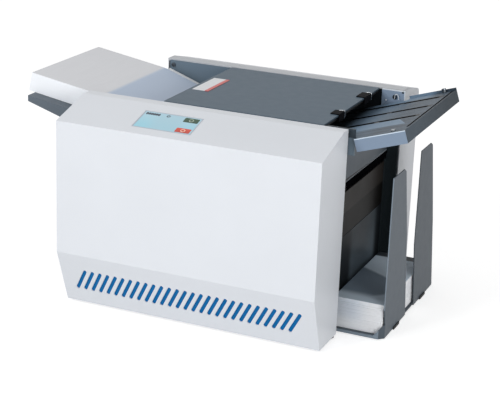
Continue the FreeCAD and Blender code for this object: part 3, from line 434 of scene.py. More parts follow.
def coordinate(axis, place):
    """The world X, Y or Z of a place in millimetres, measured as in at()."""
    return getattr(at(place, place, place), axis.lower())


def on_slope(across, up, out):
    """A point on the display, in millimetres from its lower left corner; out is square to the slope."""
    y = SCREEN_FRONT + up * math.cos(SLOPE) - out * math.sin(SLOPE)
    z = SLOPE_FOOT + SCREEN_FRONT * math.tan(SLOPE) + up * math.sin(SLOPE) + out * math.cos(SLOPE)
    return at(SCREEN_LEFT + across, y, z)


def on_plate(along, above):
    """A point over the upper fold plate, in millimetres along its slope and square above its path line."""
    x = PATH_START + along * math.cos(FOLD) - above * math.sin(FOLD)
    z = PATH_HEIGHT + along * math.sin(FOLD) + above * math.cos(FOLD)
    return at(x, 0, z)


class FOLDER_OT_covers(bpy.types.Operator):
    """Finish the white covers and round their bends"""

    bl_idname = "folder.covers"
    bl_label = "Covers"

    # Painted shade: the rear cover is darker on its top past TOP_BEND and on its right end wall past END_WALL
    TOP_BEND = (316.0, 322.5)
    END_WALL = 419.2
    TOP_PAINTED_SHADE = {"front_cover": 1.0, "rear_cover": 0.68}
    END_PAINTED_SHADE = 0.5

    def execute(self, context):
        colours, sizes, _ = settings()
        for node, upper in self.TOP_PAINTED_SHADE.items():
            coat = powder_coat(node + "_paint", colours.cover, 0.36, gloss=0.2)
            tone = coat.mix(coat.rise("Z", *self.TOP_BEND), coat.tone, shade(colours.cover, upper))
            end = coat.past("X", self.END_WALL) * (1 - upper)
            coat.set(Base_Color=coat.mix(end, tone, shade(colours.cover, self.END_PAINTED_SHADE)))
            dress(coat, node, edge=sizes.bend, segments=3)
        return {"FINISHED"}


class FOLDER_OT_vent_screen(bpy.types.Operator):
    """Finish the bright sheet behind the vent slots"""

    bl_idname = "folder.vent_screen"
    bl_label = "Vent screen"

    def execute(self, context):
        colours, _, _ = settings()
        dress(moulded("vent_blue", colours.vent, 0.5, gloss=0.1), "vent_screen")
        return {"FINISHED"}


class FOLDER_OT_display(bpy.types.Operator):
    """Light the touch screen, lay its counter, ring and keys on it, and draw the painted shadow of its recess
    """

    bl_idname = "folder.display"
    bl_label = "Display"

    # Depths of the drawn pieces under the cover's slope
    PRINT_TOP = -0.10
    SIGN_TOP = -0.04
    PRINT_FOOT = -0.16

    # Millimetres across and up the screen
    SCREEN_HEIGHT = 49.0
    PALE_MIDDLE = 48.0
    KEY_SIDES = (67.5, 91.0)
    KEY_CORNER = 1.6
    START_KEY = (33.0, 45.4)
    STOP_KEY = (3.4, 15.6)
    SIGN_MIDDLE = 79.2
    SIGN_RADII = (3.6, 2.7)
    TEXT_LINE = 41.6
    DIGIT_FIRST = 6.2
    DIGIT_STEP = 3.9
    DIGIT_HALVES = (1.95, 3.3)
    DIGIT_HOLE_SHARE = 0.12
    RING_MIDDLE = 41.0
    RING_RADII = (2.9, 1.5)
    PICTURE_SIDES = (0.2, 94.8)
    PICTURE_ENDS = (0.4, 47.3)
    LINE_WIDTH = 1.5

    def execute(self, context):
        colours, _, _ = settings()
        dress(moulded("display_rim", (0.50, 0.55, 0.62), 0.34, 0.004), "display_bezel")
        glass = Finish("screen_glass", (0.02, 0.03, 0.035), 0.16, Specular_IOR_Level=0.12)
        glass.set(Emission_Strength=0.72)
        rise = glass.along("Z").ramp(on_slope(0, 0, 0).z, on_slope(0, self.SCREEN_HEIGHT, 0).z)
        glow = glass.mix(rise, tuple(colours.screen_foot), tuple(colours.screen_top))
        middle = glass.stripe("X", SCREEN_LEFT + self.PALE_MIDDLE, 12.0, 22.0)
        glass.set(Emission_Color=glass.mix(middle * 0.7, glow, shade(colours.screen_top, 0.92)))
        dress(glass, "touch_screen")
        self.key("start_key", colours.start_key, (0.05, 0.15, 0.07), *self.START_KEY)
        self.key("stop_key", colours.stop_key, (0.80, 0.42, 0.26), *self.STOP_KEY)
        self.counter()
        # Painted shadow of the screen's recess, drawn as dark lines
        self.outline()
        return {"FINISHED"}

    def flat(self, name, corners, finish, top=PRINT_TOP):
        """A thin flat piece on the glass, from its corners across and up the screen."""
        thick = on_slope(0, 0, self.PRINT_FOOT) - on_slope(0, 0, top)

        def fill(bm):
            for outline in corners:
                add_prism(bm, [on_slope(across, up, top) for across, up in outline], thick)

        new_piece(name, fill, BODY["touch_screen"], finish)

    def key(self, name, colour, sign_glow, low, high):
        """A lit key between two heights on the screen, darker at its foot, with a ring as its sign."""
        finish = Finish(name, colour, 0.2, Emission_Strength=0.8)
        rise = finish.along("Z").ramp(on_slope(0, low, 0).z, on_slope(0, high, 0).z)
        glow = finish.mix(rise, shade(colour, 0.45), shade(colour, 0.72))
        finish.set(Base_Color=shade(colour, 0.3), Emission_Color=glow)
        self.flat(name, [self.rounded(low, high)], finish)
        pale = Finish(name + "_sign", (0.5, 0.5, 0.45), 0.3, Emission_Strength=0.7)
        pale.set(Emission_Color=sign_glow)
        sign = self.ring(self.SIGN_MIDDLE, (low + high) / 2, *self.SIGN_RADII, 28)
        self.flat(name + "_sign", sign, pale, self.SIGN_TOP)

    def rounded(self, low, high):
        """The points of a key with round corners."""
        corner = self.KEY_CORNER
        left, right = self.KEY_SIDES[0] + corner, self.KEY_SIDES[1] - corner
        low, high = low + corner, high - corner
        points = []
        for cx, cy, start in ((right, high, 0), (left, high, 90), (left, low, 180), (right, low, 270)):
            for step in range(5):
                turn = math.radians(start + step * 22.5)
                points.append((cx + corner * math.cos(turn), cy + corner * math.sin(turn)))
        return points

    def ring(self, across, up, outer, inner, count):
        """The four-cornered pieces of a flat ring."""
        turns = [math.tau * step / count for step in range(count + 1)]
        return [[(across + r * math.cos(t), up + r * math.sin(t)) for r, t in
                 ((outer, a), (outer, b), (inner, b), (inner, a))] for a, b in zip(turns, turns[1:])]

    def counter(self):
        """A row of six noughts, each a tall oval ring, and the ring beside them."""
        ink_and_shadow = Finish("screen_ink", (0.01, 0.012, 0.02), 0.3, Emission_Strength=0.5)
        ink_and_shadow.set(Emission_Color=(0.002, 0.006, 0.030))
        digits = []
        wide, high = self.DIGIT_HALVES
        for index in range(6):
            centre = self.DIGIT_FIRST + index * self.DIGIT_STEP
            for piece in self.ring(0.0, 0.0, 1.0, self.DIGIT_HOLE_SHARE, 14):
                digits.append([(centre + x * wide, self.TEXT_LINE + y * high) for x, y in piece])
        self.flat("counter_digits", digits, ink_and_shadow)
        ring = self.ring(self.RING_MIDDLE, self.TEXT_LINE, *self.RING_RADII, 24)
        self.flat("status_ring", ring, ink_and_shadow)

    def outline(self):
        """Painted shadow: a thin dark line along the top and the left side of the lit picture, where the
        screen's recess is shaded.
        """
        ink_and_shadow = moulded("screen_line", (0.008, 0.014, 0.024), 0.5, 0.002, gloss=0.05)
        left, right = self.PICTURE_SIDES
        low, high = self.PICTURE_ENDS
        inner, upper = left + self.LINE_WIDTH, high + self.LINE_WIDTH
        lines = [[(left, high), (right, high), (right, upper), (left, upper)],
                 [(left, low), (inner, low), (inner, high), (left, high)]]
        self.flat("screen_outline", lines, ink_and_shadow)


class FOLDER_OT_frames(bpy.types.Operator):
    """Finish the side frames, the base and what joins them"""

    bl_idname = "folder.frames"
    bl_label = "Frames and base"

    # Painted shade on the side frames: near black past EXIT_SHADE_FADE at the exit end, and under the lid's
    # right end within LID_SHADE_FADE above LID_SHADE_FOOT
    EXIT_SHADE_FADE = (384.0, 392.0)
    LID_SHADE_FADE = (310.0, 350.0)
    LID_SHADE_FOOT = 262.0
    BRACKET_RIM = 321.6
    BRACKET_END = 423.0
    FRONT_BRACKET_REAR = 200.0
    FRONT_BRACKET_SHADOW_FADE = (309.0, 311.0)
    # The small hole on the rear bracket, painted black as its shaded inside
    HOLE = (420.6, 0.0, 320.4)

    def execute(self, context):
        colours, sizes, _ = settings()
        paint = powder_coat("frame_paint", colours.frame_paint, 0.42, gloss=0.14)
        # Painted shade: the frames go dark under the lid's right end and past the exit end
        painted_lid_shade = paint.rise("X", *self.LID_SHADE_FADE) * paint.past("Z", self.LID_SHADE_FOOT)
        tone = paint.mix(painted_lid_shade, paint.tone, (0.010, 0.013, 0.016))
        paint.set(Base_Color=paint.mix(paint.rise("X", *self.EXIT_SHADE_FADE), tone, (0.026, 0.036, 0.042)))
        dress(paint, "front_side_frame", "rear_side_frame", edge=sizes.edge)
        dress(self.bracket_paint(colours.lit_flange), "fold_plate_brackets", edge=sizes.edge)
        zinc = brushed("zinc_sheet", (0.42, 0.44, 0.46), 0.36, (0.05, 1.0, 1.0))
        dress(zinc, "base_plate", "infeed_panel", "feed_ramp")
        dress(brushed("drawn_bar", (0.50, 0.51, 0.53), 0.28, (1.0, 0.03, 1.0)), "cross_bars")
        dress(moulded("blackened_pin", (0.012, 0.012, 0.013), 0.5, gloss=0.1), "hinge_pin")
        return {"FINISHED"}

    def bracket_paint(self, colour):
        """Rear bracket: pale paint as painted light, lighter strips along its top and end edges, and a small
        hole painted black as its shade; front bracket: dark paint with painted shadow over its upper part.
        """
        paint = powder_coat("bracket_paint", colour, 0.40, gloss=0.2)
        rim = paint.past("Z", self.BRACKET_RIM).either(paint.past("X", self.BRACKET_END))
        tone = paint.mix(rim, shade(colour, 1.2), (0.74, 0.79, 0.84))
        hole = at(*self.HOLE)
        away = abs(paint.along("X") - hole.x) + abs(paint.along("Z") - hole.z)
        tone = paint.mix(away < 2.0 * MM, tone, (0.005, 0.005, 0.006))
        # Painted shadow over the front bracket's upper part
        lower = 1 - paint.rise("Z", *self.FRONT_BRACKET_SHADOW_FADE)
        front = paint.mix(lower, (0.030, 0.042, 0.054), (0.130, 0.175, 0.215))
        return paint.set(Base_Color=paint.mix(paint.before("Y", self.FRONT_BRACKET_REAR), tone, front))


class FOLDER_OT_lid(bpy.types.Operator):
    """Finish the lid, its clips and the plate that lies on it"""

    bl_idname = "folder.lid"
    bl_label = "Lid"

    LID_END = 380.8
    RED_EDGE = 151.0
    WIRES = {"near_clip_wire": 190.6, "far_clip_wire": 312.6}
    # X and Z of the points that a clip's wire bends through
    WIRE_BENDS = ((374.0, 324.5), (378.0, 325.0), (381.6, 324.9), (383.1, 323.4), (383.2, 318.5),
                  (382.9, 313.5))

    def execute(self, context):
        colours, sizes, _ = settings()
        lid = powder_coat("lid_paint", colours.lid, 0.46, gloss=0.14)
        # Painted shade: the lid's right end face past LID_END is a darker copy of its paint
        lid.set(Base_Color=lid.mix(lid.past("X", self.LID_END), lid.tone, shade(colours.lid, 0.6)))
        dress(lid, "top_cover", edge=sizes.edge)
        dress(moulded("clip_black", SOOT, 0.6, gloss=0.03), "hinge_clips", edge=0.5 * MM)
        card = Finish("marker_card", (0.74, 0.75, 0.77), 0.34)
        cloudy = card.mix(card.noise(12) * 0.3, (0.76, 0.77, 0.79), (0.68, 0.69, 0.72))
        card.set(Base_Color=card.mix(card.past("X", self.RED_EDGE), cloudy, tuple(colours.marker_edge)))
        dress(card, "marker_plate")
        self.clip_wires()
        return {"FINISHED"}

    def clip_wires(self):
        """A bright bent wire at the rear side of each clip."""
        steel = brushed("clip_wire", (0.78, 0.80, 0.82), 0.22, (1.0, 1.0, 0.1), contrast=0.08)
        for name, y in self.WIRES.items():
            points = [(x, y, z) for x, z in self.WIRE_BENDS]
            bent_wire(name, points, 0.32, steel, BODY["hinge_clips"])


class FOLDER_OT_fold_plates(bpy.types.Operator):
    """Finish both fold plates and their paper stops"""

    bl_idname = "folder.fold_plates"
    bl_label = "Fold plates"

    # Along Y: the flange, the hollow between the sheets, the open end and the far border
    FLANGE_REAR = 99.9
    HOLLOW = (101.0, 365.0)
    END = (126.2, 365.4)
    BORDER = 378.0

    # Square to the plate, from its path line
    HOLLOW_HEIGHTS = (-2.1, 3.3)
    END_HEIGHT = 3.6
    RIM_HEIGHT = 2.3
    PLATE_TOP = 3.5

    # Along the plate from its start
    LID_SHADE = (94.0, 119.0)
    GLOW_FADE = (136.0, 190.0)
    FAR_LIGHT_BAND_FADE = (190.0, 208.0)
    NEAR_LIGHT_BAND_END = 205.0
    SLOT_END = 223.5
    OPEN_END = 226.5
    CAP_START = 230.4

    # Along Y: middle, half width and soft border of the painted highlight bands and the seam, and middles of
    # the slots
    NEAR_LIGHT_BAND = (176.0, 18.0, 5.0)
    FAR_LIGHT_BAND = (359.0, 17.0, 6.0)
    SEAM = (140.5, 0.8, 0.8)
    SLOTS = (204.0, 265.5, 328.0)
    SLOT_HALF = 6.0

    # The lid's shade starts behind one place along Y and leans from another
    SHADE_FRONT = 150.0
    SHADE_TURN = 210.0
    SHADE_LEAN = 0.08

    def execute(self, context):
        colours, sizes, _ = settings()
        dress(self.plate_lacquer(colours.plate, colours.lit_flange), "upper_fold_plate", edge=0.15 * MM)
        dress(self.cap_paint(colours.cap), "upper_plate_end_cap", edge=sizes.edge)
        zinc = brushed("plate_zinc", (0.44, 0.46, 0.48), 0.34, (1.0, 0.04, 1.0))
        dress(zinc, "lower_fold_plate", "lower_paper_stop")
        dress(brushed("stop_steel", (0.10, 0.11, 0.12), 0.45, (1.0, 0.04, 1.0)), "upper_paper_stop")
        return {"FINISHED"}

    def along(self, finish):
        """The place along the plate's slope, in metres."""
        return finish.along("X") * math.cos(FOLD) + finish.along("Z") * math.sin(FOLD)

    def past_start(self, place):
        """What along() gives at a place in millimetres from the plate's start."""
        start = on_plate(0, 0)
        return start.x * math.cos(FOLD) + start.z * math.sin(FOLD) + place * MM

    def over_path(self, place):
        """The place square to the plate's slope, in metres, from millimetres over its path line."""
        start = on_plate(0, 0)
        return start.z * math.cos(FOLD) - start.x * math.sin(FOLD) + place * MM

    def plate_lacquer(self, colour, lit_flange_colour):
        """Banded lacquer with a flange made pale as painted light, a painted highlight along its rim, and
        painted shade in the hollow and the open end.
        """
        strokes = (0.04, 1.0, 0.04)
        steel = brushed("plate_lacquer", colour, 0.42, strokes, (0.0, FOLD, 0.0), metallic=0.0, contrast=0.30)
        steel.set(Specular_IOR_Level=0.15)
        lit_flange = steel.before("Y", self.FLANGE_REAR)
        tone = steel.mix(lit_flange, self.banded(steel, colour), tuple(lit_flange_colour))
        height = steel.along("Z") * math.cos(FOLD) - steel.along("X") * math.sin(FOLD)
        low, high = self.HOLLOW_HEIGHTS
        # Painted shade in the hollow between the sheets and in the open end
        hollow = (height > self.over_path(low)) * (height < self.over_path(high))
        hollow = hollow * steel.within("Y", *self.HOLLOW)
        end = self.along(steel) > self.past_start(self.OPEN_END)
        end = end * (height < self.over_path(self.END_HEIGHT)) * steel.within("Y", *self.END)
        tone = steel.mix(hollow.either(end), tone, GAP_SHADE)
        # Painted highlight along the flange's rim
        rim = lit_flange * (height > self.over_path(self.RIM_HEIGHT))
        return steel.set(Base_Color=steel.mix(rim, tone, (0.62, 0.72, 0.82)))

    def banded(self, steel, colour):
        """Brushed tone with painted light near the plate's start, painted highlight bands, slots blacked as
        painted shade and painted shadow under the lid.
        """
        strokes = steel.noise(1.4, 4.0, (0.03, 1.0, 0.03), (0.0, FOLD, 0.0))
        tone = steel.mix(strokes.ramp(0.36, 0.64), shade(colour, 0.55), shade(colour, 1.45))
        along = self.along(steel)
        across = steel.along("Y")
        # Painted light: brighter near the plate's start, fading out over GLOW_FADE
        glow = 1 - self.fade(along, self.GLOW_FADE)
        tone = steel.mix(glow * 0.62, tone, shade(colour, 3.0))
        # Painted highlight bands beside two slots
        slant_end = on_plate(self.NEAR_LIGHT_BAND_END, self.PLATE_TOP).x + coordinate("Y", self.NEAR_LIGHT_BAND[0]) * 0.5
        slant = steel.along("X") + across * 0.5 < slant_end
        tone = steel.mix(steel.stripe("Y", *self.NEAR_LIGHT_BAND) * slant * 0.80, tone, shade(colour, 4.0))
        far = steel.stripe("Y", *self.FAR_LIGHT_BAND) * (1 - self.fade(along, self.FAR_LIGHT_BAND_FADE))
        tone = steel.mix(far * 0.75, tone, shade(colour, 3.8))
        tone = steel.mix(steel.stripe("Y", *self.SEAM), tone, shade(colour, 0.25))
        # Slots blacked as painted shade
        for place in self.SLOTS:
            slot = steel.stripe("Y", place, self.SLOT_HALF, 0.8) * (along < self.past_start(self.SLOT_END))
            tone = steel.mix(slot, tone, GAP_SHADE)
        tone = steel.mix(steel.past("Y", self.BORDER), tone, (0.13, 0.15, 0.17))
        leaning = along + (across - coordinate("Y", self.SHADE_TURN)) * self.SHADE_LEAN
        painted_lid_shadow = 1 - self.fade(leaning, self.LID_SHADE)
        return steel.mix(painted_lid_shadow * steel.past("Y", self.SHADE_FRONT), tone, (0.005, 0.007, 0.009))

    def fade(self, along, places):
        """0 before the first place and 1 beyond the second, both along the plate."""
        return along.ramp(*(self.past_start(place) for place in places))

    def cap_paint(self, colour):
        """Paint with painted shade that deepens to the rear, and a gap blacked as painted shade where the
        plate ends inside the cap.
        """
        paint = powder_coat("cap_paint", colour, 0.44, gloss=0.06)
        tone = paint.mix(paint.rise("Y", 110.0, 380.0), tuple(colour), shade(colour, 0.50))
        gap = self.along(paint) < self.past_start(self.CAP_START)
        return paint.set(Base_Color=paint.mix(gap, tone, GAP_SHADE))


class FOLDER_OT_feed(bpy.types.Operator):
    """Finish the feed tray and the guides, and lay the loaded sheets in layers"""

    bl_idname = "folder.feed"
    bl_label = "Feed side"

    PAPER_SIDES = (125.15, 340.85)
    STACK_HEIGHT = 30.2
    STACK_FOOT = 0.3
    BENDS = 28

    # The lowest sheet's ends along X, and how far the uppermost one stands in from them
    TAIL = -123.0
    TAIL_LEAN = 5.4
    LEAD = 144.8
    LEAD_LEAN = 19.8

    # The line under the stack: down the tray, down the steeper ramp, then up its lip
    TRAY_START = -112.0
    TRAY_HEIGHT = 300.0
    TRAY_FALL = math.tan(math.radians(9.0))
    RAMP_START = 9.5
    RAMP_FALL = math.tan(math.radians(19.0))
    LIP_START = 140.0
    LIP_HEIGHT = 235.82
    LIP_RISE = 0.149

    # Painted light and shade on the stack: painted shade where it slopes and painted light on its lead along
    # X, and painted light on its front side along Y
    SLOPE_SHADE_FADE = (4.0, 12.0)
    LEAD_LIGHT_FADE = (88.0, 92.0)
    LIT_FRONT_SIDE = 126.6

    def execute(self, context):
        colours, sizes, _ = settings()
        # Painted light: the feed tray takes a lighter copy of the trays' paint
        paint = powder_coat("feed_tray_paint", shade(colours.tray, 1.25), 0.42)
        dress(paint, "feed_tray", edge=sizes.edge)
        pale = (0.84, 0.86, 0.88)
        silver = brushed("guide_silver", pale, 0.34, (0.06, 1.0, 1.0), metallic=0.0, contrast=0.08)
        dress(silver, "front_paper_guide", "rear_paper_guide", edge=0.25 * MM)
        dress(moulded("pad_rubber", (0.10, 0.06, 0.04), 0.7), "separator_pad")
        paper = self.paper(colours.paper)
        body = BODY["feed_stack"]
        stack = new_piece("loaded_sheets", self.sheets(sizes.sheets), body, paper)
        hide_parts("feed_stack")
        return {"FINISHED"}

    def paper(self, colour):
        """Uncoated paper: fibres, faint stripes of the sheet edges, painted shade where the pile slopes and
        painted light on its lead and its front side.
        """
        finish = Finish("loaded_paper", colour, 0.62)
        fibre = finish.noise(0.5, 4.0)
        edges = finish.noise(0.9, 2.0, (0.02, 0.02, 1.0))
        tone = finish.mix(edges * 0.35, tuple(colour), shade(colour, 0.86))
        tone = finish.mix(finish.rise("X", *self.SLOPE_SHADE_FADE), tone, (0.53, 0.62, 0.76))
        tone = finish.mix(finish.rise("X", *self.LEAD_LIGHT_FADE), tone, (0.74, 0.83, 0.94))
        tone = finish.mix(finish.before("Y", self.LIT_FRONT_SIDE) * 0.8, tone, (0.93, 0.96, 1.0))
        finish.set(Base_Color=tone, Roughness=fibre * 0.12 + 0.56)
        return finish.bumpy(fibre, 0.01)

    def height(self, x):
        """The height of the line under the stack, in millimetres."""
        if x > self.LIP_START:
            return self.LIP_HEIGHT + (x - self.LIP_START) * self.LIP_RISE
        steeper = max(0.0, x - self.RAMP_START) * (self.RAMP_FALL - self.TRAY_FALL)
        return self.TRAY_HEIGHT - (x - self.TRAY_START) * self.TRAY_FALL - steeper

    def sheets(self, count):
        """Fills a mesh with layers that follow the tray, bend softly onto the ramp and end fanned."""
        def fill(bm):
            chance = random.Random(5)
            step = self.STACK_HEIGHT / count
            for layer in range(count):
                loose = 0 < layer < count - 1
                share = (layer + 0.5) / count
                left = self.TAIL + self.TAIL_LEAN * share + chance.uniform(-0.25, 0.25) * loose
                right = self.LEAD - self.LEAD_LEAN * share + chance.uniform(-0.2, 0.2)
                slip = chance.uniform(-0.22, 0.22) * loose
                low = layer * step + self.STACK_FOOT
                places = [left + (right - left) * index / self.BENDS for index in range(self.BENDS + 1)]
                line = [(x, self.height(x) + low) for x in places]
                thick = step * 0.94
                outline = line + [(x, z + thick) for x, z in reversed(line)]
                add_layer(bm, outline, *(side + slip for side in self.PAPER_SIDES))
        return fill


class FOLDER_OT_exit_end(bpy.types.Operator):
    """Finish the exit end and comb its brush"""

    bl_idname = "folder.exit_end"
    bl_label = "Exit end"

    # The deflector's painted shade along its lip lies past one X and under a line that falls to the rear
    LIP_X = 398.0
    LIP_Y = 107.0
    LIP_Z = 231.0
    LIP_FALL = 0.028

    WINDOW_FADE = (170.0, 174.0)
    # Painted sheen on the exit panel: its place along Y, and the heights over which it dims
    PAINTED_SHEEN = (268.0, 46.0, 24.0)
    PAINTED_SHEEN_RISE = (70.0, 130.0)

    # The brush: its back, and the bunches in two rows that start inside the back
    BACK_LOW = (400.1, 106.9, 219.5)
    BACK_HIGH = (402.9, 351.9, 224.0)
    ROWS = (400.4, 401.7)
    BUNCH_DEPTH = 0.7
    BUNCH_ROOT = 220.0
    TIPS = (107.0, 351.5)
    LAST_BUNCH = 351.8

    # The crimp marks: first and last along Y, step, and the corners of one that starts at Y = 0
    MARKS = (109.0, 351.0)
    MARK_STEP = 3.6
    MARK_LOW = (401.5, 0.0, 224.3)
    MARK_HIGH = (401.75, 1.5, 226.4)

    def execute(self, context):
        colours, sizes, _ = settings()
        dress(self.deflector_paint(colours.tray), "exit_deflector")
        dress(self.smoked_window(colours.window), "exit_window")
        dress(self.panel_paint(colours.panel), "exit_panel")
        hair = moulded("bristle_black", SOOT, 0.8, gloss=0.0)
        brush = new_piece("exit_bristles", self.comb(sizes), BODY["exit_brush"], hair)
        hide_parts("exit_brush")
        pale = powder_coat("fringe_grey", (0.34, 0.38, 0.42), 0.4)
        new_piece("deflector_fringe", self.fringe, BODY["exit_deflector"], pale)
        return {"FINISHED"}

    def deflector_paint(self, colour):
        """The trays' paint, blacked as painted shade along the underside of the lip."""
        paint = powder_coat("deflector_paint", colour, 0.42, gloss=0.12)
        line = coordinate("Z", self.LIP_Z) + coordinate("Y", self.LIP_Y) * self.LIP_FALL
        lip = paint.along("Z") + paint.along("Y") * self.LIP_FALL < line
        return paint.set(Base_Color=paint.mix(lip * paint.past("X", self.LIP_X), paint.tone, GAP_SHADE))

    def smoked_window(self, colour):
        """Smoked plastic, darker in its lower part."""
        window = Finish("smoked_window", colour, 0.30, Specular_IOR_Level=0.02)
        lower = 1 - window.rise("Z", *self.WINDOW_FADE)
        tone = window.mix(lower, shade(colour, 1.25), shade(colour, 0.25))
        return window.set(Base_Color=tone, Roughness=window.noise(40, 2.0) * 0.10 + 0.26)

    def panel_paint(self, colour):
        """Dark paint with a painted upright sheen that is brightest low down."""
        panel = powder_coat("panel_paint", colour, 0.40, gloss=0.04)
        sheen = panel.stripe("Y", *self.PAINTED_SHEEN)
        light = panel.mix(panel.rise("Z", *self.PAINTED_SHEEN_RISE), (0.105, 0.135, 0.160), (0.055, 0.071, 0.084))
        return panel.set(Base_Color=panel.mix(sheen, panel.tone, light))

    def comb(self, sizes):
        """Fills a mesh with the brush's back and two rows of tapered bunches of uneven length."""
        def fill(bm):
            chance = random.Random(11)
            width = sizes.bristle_width / MM
            longest = sizes.bristle / MM
            add_block(bm, at(*self.BACK_LOW), at(*self.BACK_HIGH))
            y = self.BACK_LOW[1]
            while y + width < self.LAST_BUNCH:
                for x in self.ROWS:
                    length = longest * chance.uniform(0.62, 1.0)
                    lean = chance.uniform(-0.9, 0.9)
                    out = chance.uniform(-0.1, 0.5)
                    tip_y = min(self.TIPS[1], max(self.TIPS[0], y + width / 2 + lean))
                    tip = at(x + self.BUNCH_DEPTH / 2 + out, tip_y, self.BACK_HIGH[2] - length)
                    self.bunch(bm, x, y, width, tip)
                y += width * 0.82
        return fill

    def bunch(self, bm, x, y, width, tip):
        """One bunch of bristles, from its four-cornered root to its tip."""
        far_x, far_y = x + self.BUNCH_DEPTH, y + width
        corners = ((x, y), (x, far_y), (far_x, far_y), (far_x, y))
        root = [bm.verts.new(at(*corner, self.BUNCH_ROOT)) for corner in corners]
        point = bm.verts.new(tip)
        bm.faces.new(list(reversed(root)))
        for index in range(4):
            bm.faces.new((root[index], root[(index + 1) % 4], point))

    def fringe(self, bm):
        """Short crimp marks along the deflector's lower edge, where the brush is held."""
        y, last = self.MARKS
        while y < last:
            low, high = ((x, y + width, z) for x, width, z in (self.MARK_LOW, self.MARK_HIGH))
            add_block(bm, at(*low), at(*high))
            y += self.MARK_STEP


class FOLDER_OT_catch(bpy.types.Operator):
    """Finish the catch tray and pile the folded sheets in it"""

    bl_idname = "folder.catch"
    bl_label = "Catch tray"

    # The tray's lit front edge and its shaded rear upright
    FRONT_EDGE = 121.9
    REAR_START = 240.0
    UPRIGHT_START = 480.0

    PILE_FOOT = 5.8
    PILE_HEIGHT = 48.0
    PILE_ENDS = (404.05, 483.95)
    PILE_SIDES = (129.4, 343.6)
    TOP_START = 53.5

    # Painted light on the pile: towards its right end and near the floor
    LIT_RIGHT_END_FADE = (430.0, 466.0)
    LIT_FOOT_FADE = (12.0, 34.0)

    # Slanted borders of the painted shadow on the uppermost sheet: two axes, a slope, a place on the border
    # and a fade
    FAR_BORDER = ("Y", "X", 0.555, (252.0, 420.0), 10.0)
    NEAR_LEFT = ("X", "Y", -0.2, (424.0, 150.0), 16.0)
    NEAR_REAR = ("Y", "X", -0.9, (150.0, 456.0), 16.0)
    FAR_END = (322.0, 328.0)
    FRONT_STRIP = (144.0, 168.0)
    BORDER_FADE = (324.0, 328.0)

    def execute(self, context):
        colours, sizes, _ = settings()
        tray = powder_coat("catch_tray_paint", colours.tray, 0.44, gloss=0.12)
        tone = tray.mix(tray.before("Y", self.FRONT_EDGE), tray.tone, shade(colours.tray, 2.4))
        rear = tray.past("Y", self.REAR_START) * tray.past("X", self.UPRIGHT_START)
        tray.set(Base_Color=tray.mix(rear, tone, shade(colours.tray, 0.76)))
        dress(tray, "catch_tray", edge=sizes.edge)
        dress(moulded("tray_rubber", colours.rubber, 0.8), "tray_feet")
        paper = self.paper(colours.paper)
        body = BODY["delivered_stack"]
        pile = new_piece("folded_sheets", self.pile(sizes.folded), body, paper)
        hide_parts("delivered_stack")
        return {"FINISHED"}

    def paper(self, colour):
        """Paper with the stripes of the sheets' edges, and painted light near the floor and towards the right
        end.
        """
        paper = Finish("folded_paper", colour, 0.6)
        fibre = paper.noise(0.6, 4.0)
        edges = paper.noise(1.1, 3.0, (0.03, 0.03, 1.0))
        lit_right_end = paper.rise("X", *self.LIT_RIGHT_END_FADE)
        tone = paper.mix(edges * (0.5 - lit_right_end * 0.4), (0.78, 0.84, 0.92), (0.54, 0.59, 0.66))
        tone = paper.mix((1 - paper.rise("Z", *self.LIT_FOOT_FADE)) * 0.75, tone, (0.96, 0.98, 1.0))
        tone = paper.mix(lit_right_end * 0.9, tone, (0.97, 0.98, 1.0))
        tone = paper.mix(paper.past("Z", self.TOP_START), tone, self.shaded_top(paper))
        paper.set(Base_Color=tone, Roughness=fibre * 0.1 + 0.55)
        return paper.bumpy(fibre, 0.01)

    def shaded_top(self, paper):
        """The uppermost sheet: painted shadow of the machine, lighter towards two corners and the front, and
        darkest along the far border.
        """
        far = self.beyond(paper, *self.FAR_BORDER) * (1 - paper.rise("Y", *self.FAR_END))
        near = self.beyond(paper, *self.NEAR_LEFT) * (1 - self.beyond(paper, *self.NEAR_REAR))
        front = 1 - paper.rise("Y", *self.FRONT_STRIP)
        light = far.either(near * 0.8).either(front * 0.9)
        tone = paper.mix(light, (0.20, 0.26, 0.33), (0.72, 0.84, 0.95))
        return paper.mix(paper.rise("Y", *self.BORDER_FADE), tone, (0.02, 0.03, 0.04))

    def beyond(self, paper, first, second, slope, place, fade):
        """0 to 1 across a slanted border, where first plus slope times second grows."""
        start = coordinate(first, place[0]) + coordinate(second, place[1]) * slope
        return (paper.along(first) + paper.along(second) * slope).ramp(start, start + fade * MM)

    def pile(self, count):
        """Fills a mesh with folded sheets: two leaves joined by a round fold, each a little out of line."""
        def fill(bm):
            chance = random.Random(3)
            step = self.PILE_HEIGHT / count
            for index in range(count):
                low = self.PILE_FOOT + index * step
                high = low + step * 0.95
                left = self.PILE_ENDS[0] + chance.uniform(0.0, 1.6)
                right = self.PILE_ENDS[1] - chance.uniform(0.0, 1.6)
                slip = chance.uniform(-0.8, 0.8) * (0 < index < count - 1)
                outline = self.leaf(left, right, low, high)
                add_layer(bm, outline, *(side + slip for side in self.PILE_SIDES))
        return fill

    def leaf(self, left, right, low, high):
        """The outline of one folded sheet, rounded at both of its ends."""
        half, middle = (high - low) / 2, (low + high) / 2
        outline = []
        for centre, start in ((right - half, -90), (left + half, 90)):
            for step in range(7):
                turn = math.radians(start + step * 30)
                outline.append((centre + half * math.cos(turn), middle + half * math.sin(turn)))
        return outline


